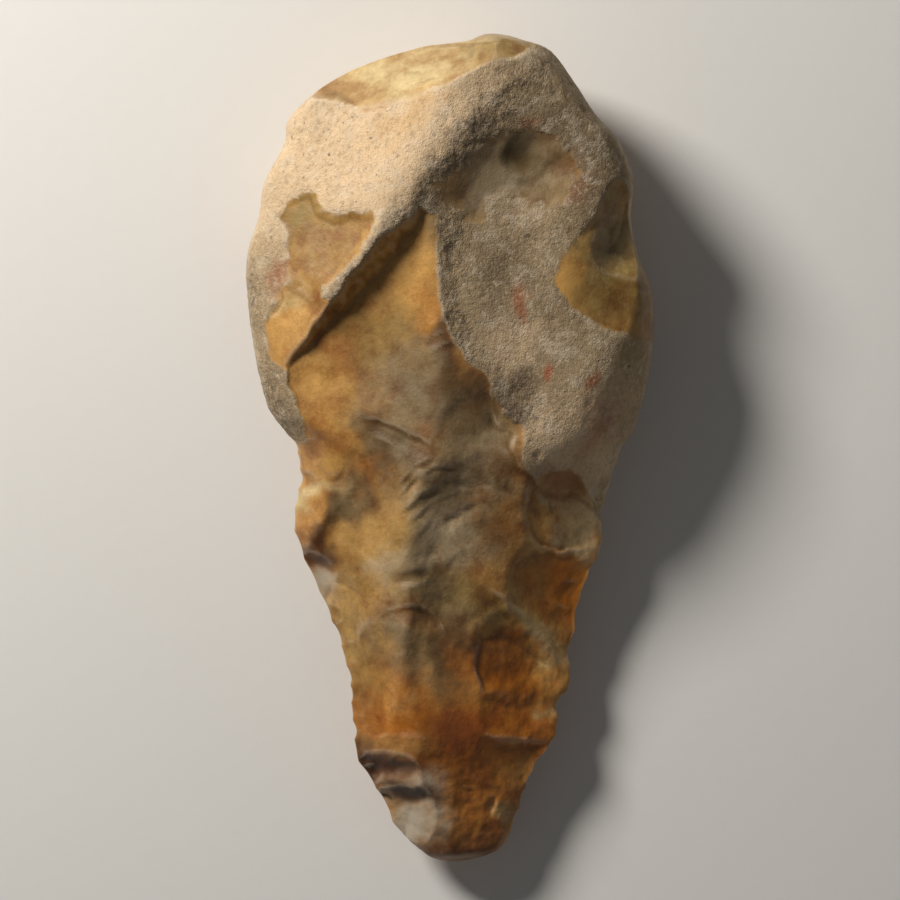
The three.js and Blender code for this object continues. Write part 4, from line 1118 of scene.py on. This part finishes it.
class StoneSettings(bpy.types.PropertyGroup):
    grain_height: length_of("Grain height", "How far the grains of the rind stand out", 0.0003)
    grain_size: length_of("Grain size", "How wide the grains of the rind are", 0.0018)
    pit_depth: length_of("Pit depth", "How deep the pits in the rind go", 0.0003)
    pit_spacing: length_of("Pit spacing", "How far apart the pits in the rind are", 0.0042)
    flint_waves: length_of("Flint waves", "How uneven the bare flint is", 0.0012)
    seed: IntProperty(name="Seed", description="Changes the grain of the rind", default=4)
    cream: tone("Cream rind", "The rind on the left and at the butt", "#e4c49b")
    pink_grey: tone("Grey rind", "The rind on the right", "#a78f6c")
    # Besides weathered rind, this colour is painted shade beside the crest and in the right hollow.
    dark_rind_and_shade: tone("Dark rind", "The rind where it has weathered", "#715d43")
    honey: tone("Honey flint", "The brightest stain on the scars", "#cc994e")
    ochre: tone("Ochre flint", "The main stain on the scars", "#b68746")
    # Besides the pale flint of the butt flake, this colour is a painted highlight in thin strips along
    # lit edges and ridges.
    pale_flint_and_edge_light: tone("Pale flint", "The scars at the butt and the thin edges", "#c8b07c")
    olive: tone("Olive flint", "The scars on the right", "#94793f")
    grey_flint: tone("Grey flint", "The flint in the middle", "#8e7957")
    pale_grey: tone("Pale grey flint", "The clouds in the grey flint", "#b39c78")
    orange_brown: tone("Orange flint", "The stain towards the point", "#b4690c")
    dark_olive: tone("Dark olive flint", "The darkest flint in the hollows", "#65502c")
    # A few patches of this brown, beside the rough ridge and under the point band, are partly painted
    # shade.
    deep_brown: tone("Brown flint", "The deep stain at the point", "#5f3006")
    # Besides brown stain, this colour is painted shade under the steps and at the top of the point chip.
    brown_stain_and_step_shade: tone("Dark brown", "The stain under the steps", "#3e1f04")
    rust: tone("Rust", "The small stains on the rind", "#a4562f")
    fresh: tone("Fresh flint", "The newest chips", "#b9aa94")
    deep_stain: tone("Deep stain", "What the darker clouds in the flint are multiplied by", "#cbab84")
    pale_cloud: FloatVectorProperty(
        name="Pale cloud", description="What the lighter clouds in the flint are multiplied by",
        size=3, min=0, max=4, default=(1.3, 1.32, 1.4))
    # This colour is the rind's pale grains, and a painted highlight where it lightens the ridges.
    pale_grain_and_ridge_light: tone("Pale grain", "The light grains of the rind and worn ridges", "#dccbb0")
    grain_dark: tone("Dark grain", "The dark grains of the rind", "#6f5f4e")
    speck: tone("Specks", "The small dark specks", "#40352b")
    # This colour is real dirt in the flint's specks and holes, and painted shade where it darkens the
    # creases.
    dirt_and_crease_shade: tone("Dirt", "What has settled in the creases", "#4d3118")


class StageSettings(bpy.types.PropertyGroup):
    floor_colour: tone("Floor colour", "The colour of the board the stone lies on", "#e9e6e0")
    floor_size: length_of("Floor size", "How wide the board is", 6.0)
    lens: FloatProperty(name="Lens", description="The focal length, in millimetres", default=195.0)
    view_width: length_of("View width", "How much the camera sees at the stone's edge", 0.2174)
    key_power: FloatProperty(name="Main light", description="Strength of the large light, in watts",
                             default=7.1, min=0)
    fill_power: FloatProperty(name="Second light", description="Strength of the soft light, in watts",
                              default=0.5, min=0)
    around: FloatProperty(name="Light all round", description="Strength of the even light",
                          default=0.07, min=0)


PALETTE = ("cream", "pink_grey", "dark_rind_and_shade", "honey", "ochre", "pale_flint_and_edge_light", "olive", "grey_flint",
           "pale_grey", "orange_brown", "dark_olive", "deep_brown", "brown_stain_and_step_shade", "rust",
           "fresh")


SENSOR_WIDTH = 36.0

# ==== operators ====
class HANDAXE_OT_stone(bpy.types.Operator):
    """Build the stone and put it in place of the plain solid"""
    bl_idname = "handaxe.stone"
    bl_label = "Make the stone"

    def execute(self, context):
        settings = context.scene.hand_axe_stone
        palette = {name: np.array(getattr(settings, name)) for name in PALETTE}
        material = flint_material(settings)
        rough = bpy.data.objects.new("stone_blank", stone_mesh(palette))
        context.scene.collection.objects.link(rough)
        relief = rough.modifiers.new("relief", "NODES")
        relief.node_group = relief_tree()
        set_inputs(relief, {
            "Grain Height": settings.grain_height,
            "Grain Size": settings.grain_size,
            "Pit Depth": settings.pit_depth,
            "Pit Spacing": settings.pit_spacing,
            "Flint Waves": settings.flint_waves,
            "Seed": float(settings.seed),
            "Material": material,
        })
        mesh = solid_from(rough, "flint_stone")
        if len(mesh.polygons) == 0:
            raise RuntimeError("the relief left nothing of the stone")
        bpy.data.objects.remove(rough)
        stone = bpy.data.objects.new("flint_stone", mesh)
        context.scene.collection.objects.link(stone)
        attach(stone, BODY)
        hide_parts(NODE)
        return {"FINISHED"}


class HANDAXE_OT_stage(bpy.types.Operator):
    """Build the board, the lights and the camera"""
    bl_idname = "handaxe.stage"
    bl_label = "Make the stage"

    def execute(self, context):
        scene = context.scene
        settings = scene.hand_axe_stage
        half = settings.floor_size / 2
        mesh = bpy.data.meshes.new("board")
        corners = [(-half, -half, 0), (half, -half, 0), (half, half, 0), (-half, half, 0)]
        mesh.from_pydata(corners, [], [(0, 1, 2, 3)])
        mesh.materials.append(floor_material(tuple(settings.floor_colour)))
        floor = bpy.data.objects.new("board", mesh)
        scene.collection.objects.link(floor)

        middle = Vector((0, 0, EDGE_HEIGHT * MM))
        add_light(scene, "main_light", middle, way=135, climb=35, away=0.8, size=0.26,
                  power=settings.key_power, colour=(1.0, 0.97, 0.93))
        add_light(scene, "second_light", middle, way=-40, climb=50, away=1.2, size=0.9,
                  power=settings.fill_power, colour=(0.95, 0.97, 1.0))
        world = bpy.data.worlds.new("even_light")
        world.use_nodes = True
        nodes = Nodes(world.node_tree)
        even = nodes.add("ShaderNodeBackground", Color=(1, 1, 1, 1), Strength=settings.around)
        nodes.add("ShaderNodeOutputWorld", Surface=even)
        scene.world = world

        lens = bpy.data.cameras.new("camera")
        lens.lens = settings.lens
        lens.sensor_width = SENSOR_WIDTH
        away = settings.view_width * lens.lens / lens.sensor_width
        camera = bpy.data.objects.new("camera", lens)
        camera.location = middle + Vector((0, 0, away))
        scene.collection.objects.link(camera)
        scene.camera = camera
        scene.view_settings.view_transform = "Standard"
        return {"FINISHED"}


def add_light(scene, name, aim, way, climb, away, size, power, colour):
    """A round soft light, seen from the stone towards `way` and `climb` degrees up."""
    lamp = bpy.data.lights.new(name, "AREA")
    lamp.shape = "DISK"
    lamp.size = size
    lamp.energy = power
    lamp.color = colour
    way = math.radians(way)
    climb = math.radians(climb)
    ray = Vector((math.cos(way) * math.cos(climb), math.sin(way) * math.cos(climb), math.sin(climb)))
    light = bpy.data.objects.new(name, lamp)
    light.location = aim + ray * away
    light.rotation_euler = ray.to_track_quat("Z", "Y").to_euler()
    scene.collection.objects.link(light)


class HANDAXE_PT_panel(bpy.types.Panel):
    """Lists the buttons and the settings of the hand axe"""
    bl_idname = "HANDAXE_PT_panel"
    bl_label = "Flint hand axe"
    bl_space_type = "VIEW_3D"
    bl_region_type = "UI"
    bl_category = "Hand Axe"

    def draw(self, context):
        layout = self.layout
        for operator, group in (("handaxe.stone", context.scene.hand_axe_stone),
                                ("handaxe.stage", context.scene.hand_axe_stage)):
            box = layout.box()
            box.operator(operator)
            for name in group.__annotations__:
                box.prop(group, name)


CLASSES = (StoneSettings, StageSettings, HANDAXE_OT_stone, HANDAXE_OT_stage, HANDAXE_PT_panel)


def register():
    for kind in CLASSES:
        bpy.utils.register_class(kind)
    bpy.types.Scene.hand_axe_stone = PointerProperty(type=StoneSettings)
    bpy.types.Scene.hand_axe_stage = PointerProperty(type=StageSettings)


def unregister():
    del bpy.types.Scene.hand_axe_stone
    del bpy.types.Scene.hand_axe_stage
    for kind in reversed(CLASSES):
        bpy.utils.unregister_class(kind)


def main():
    register()
    bpy.ops.handaxe.stone()
    bpy.ops.handaxe.stage()


if __name__ == "__main__":
    main()
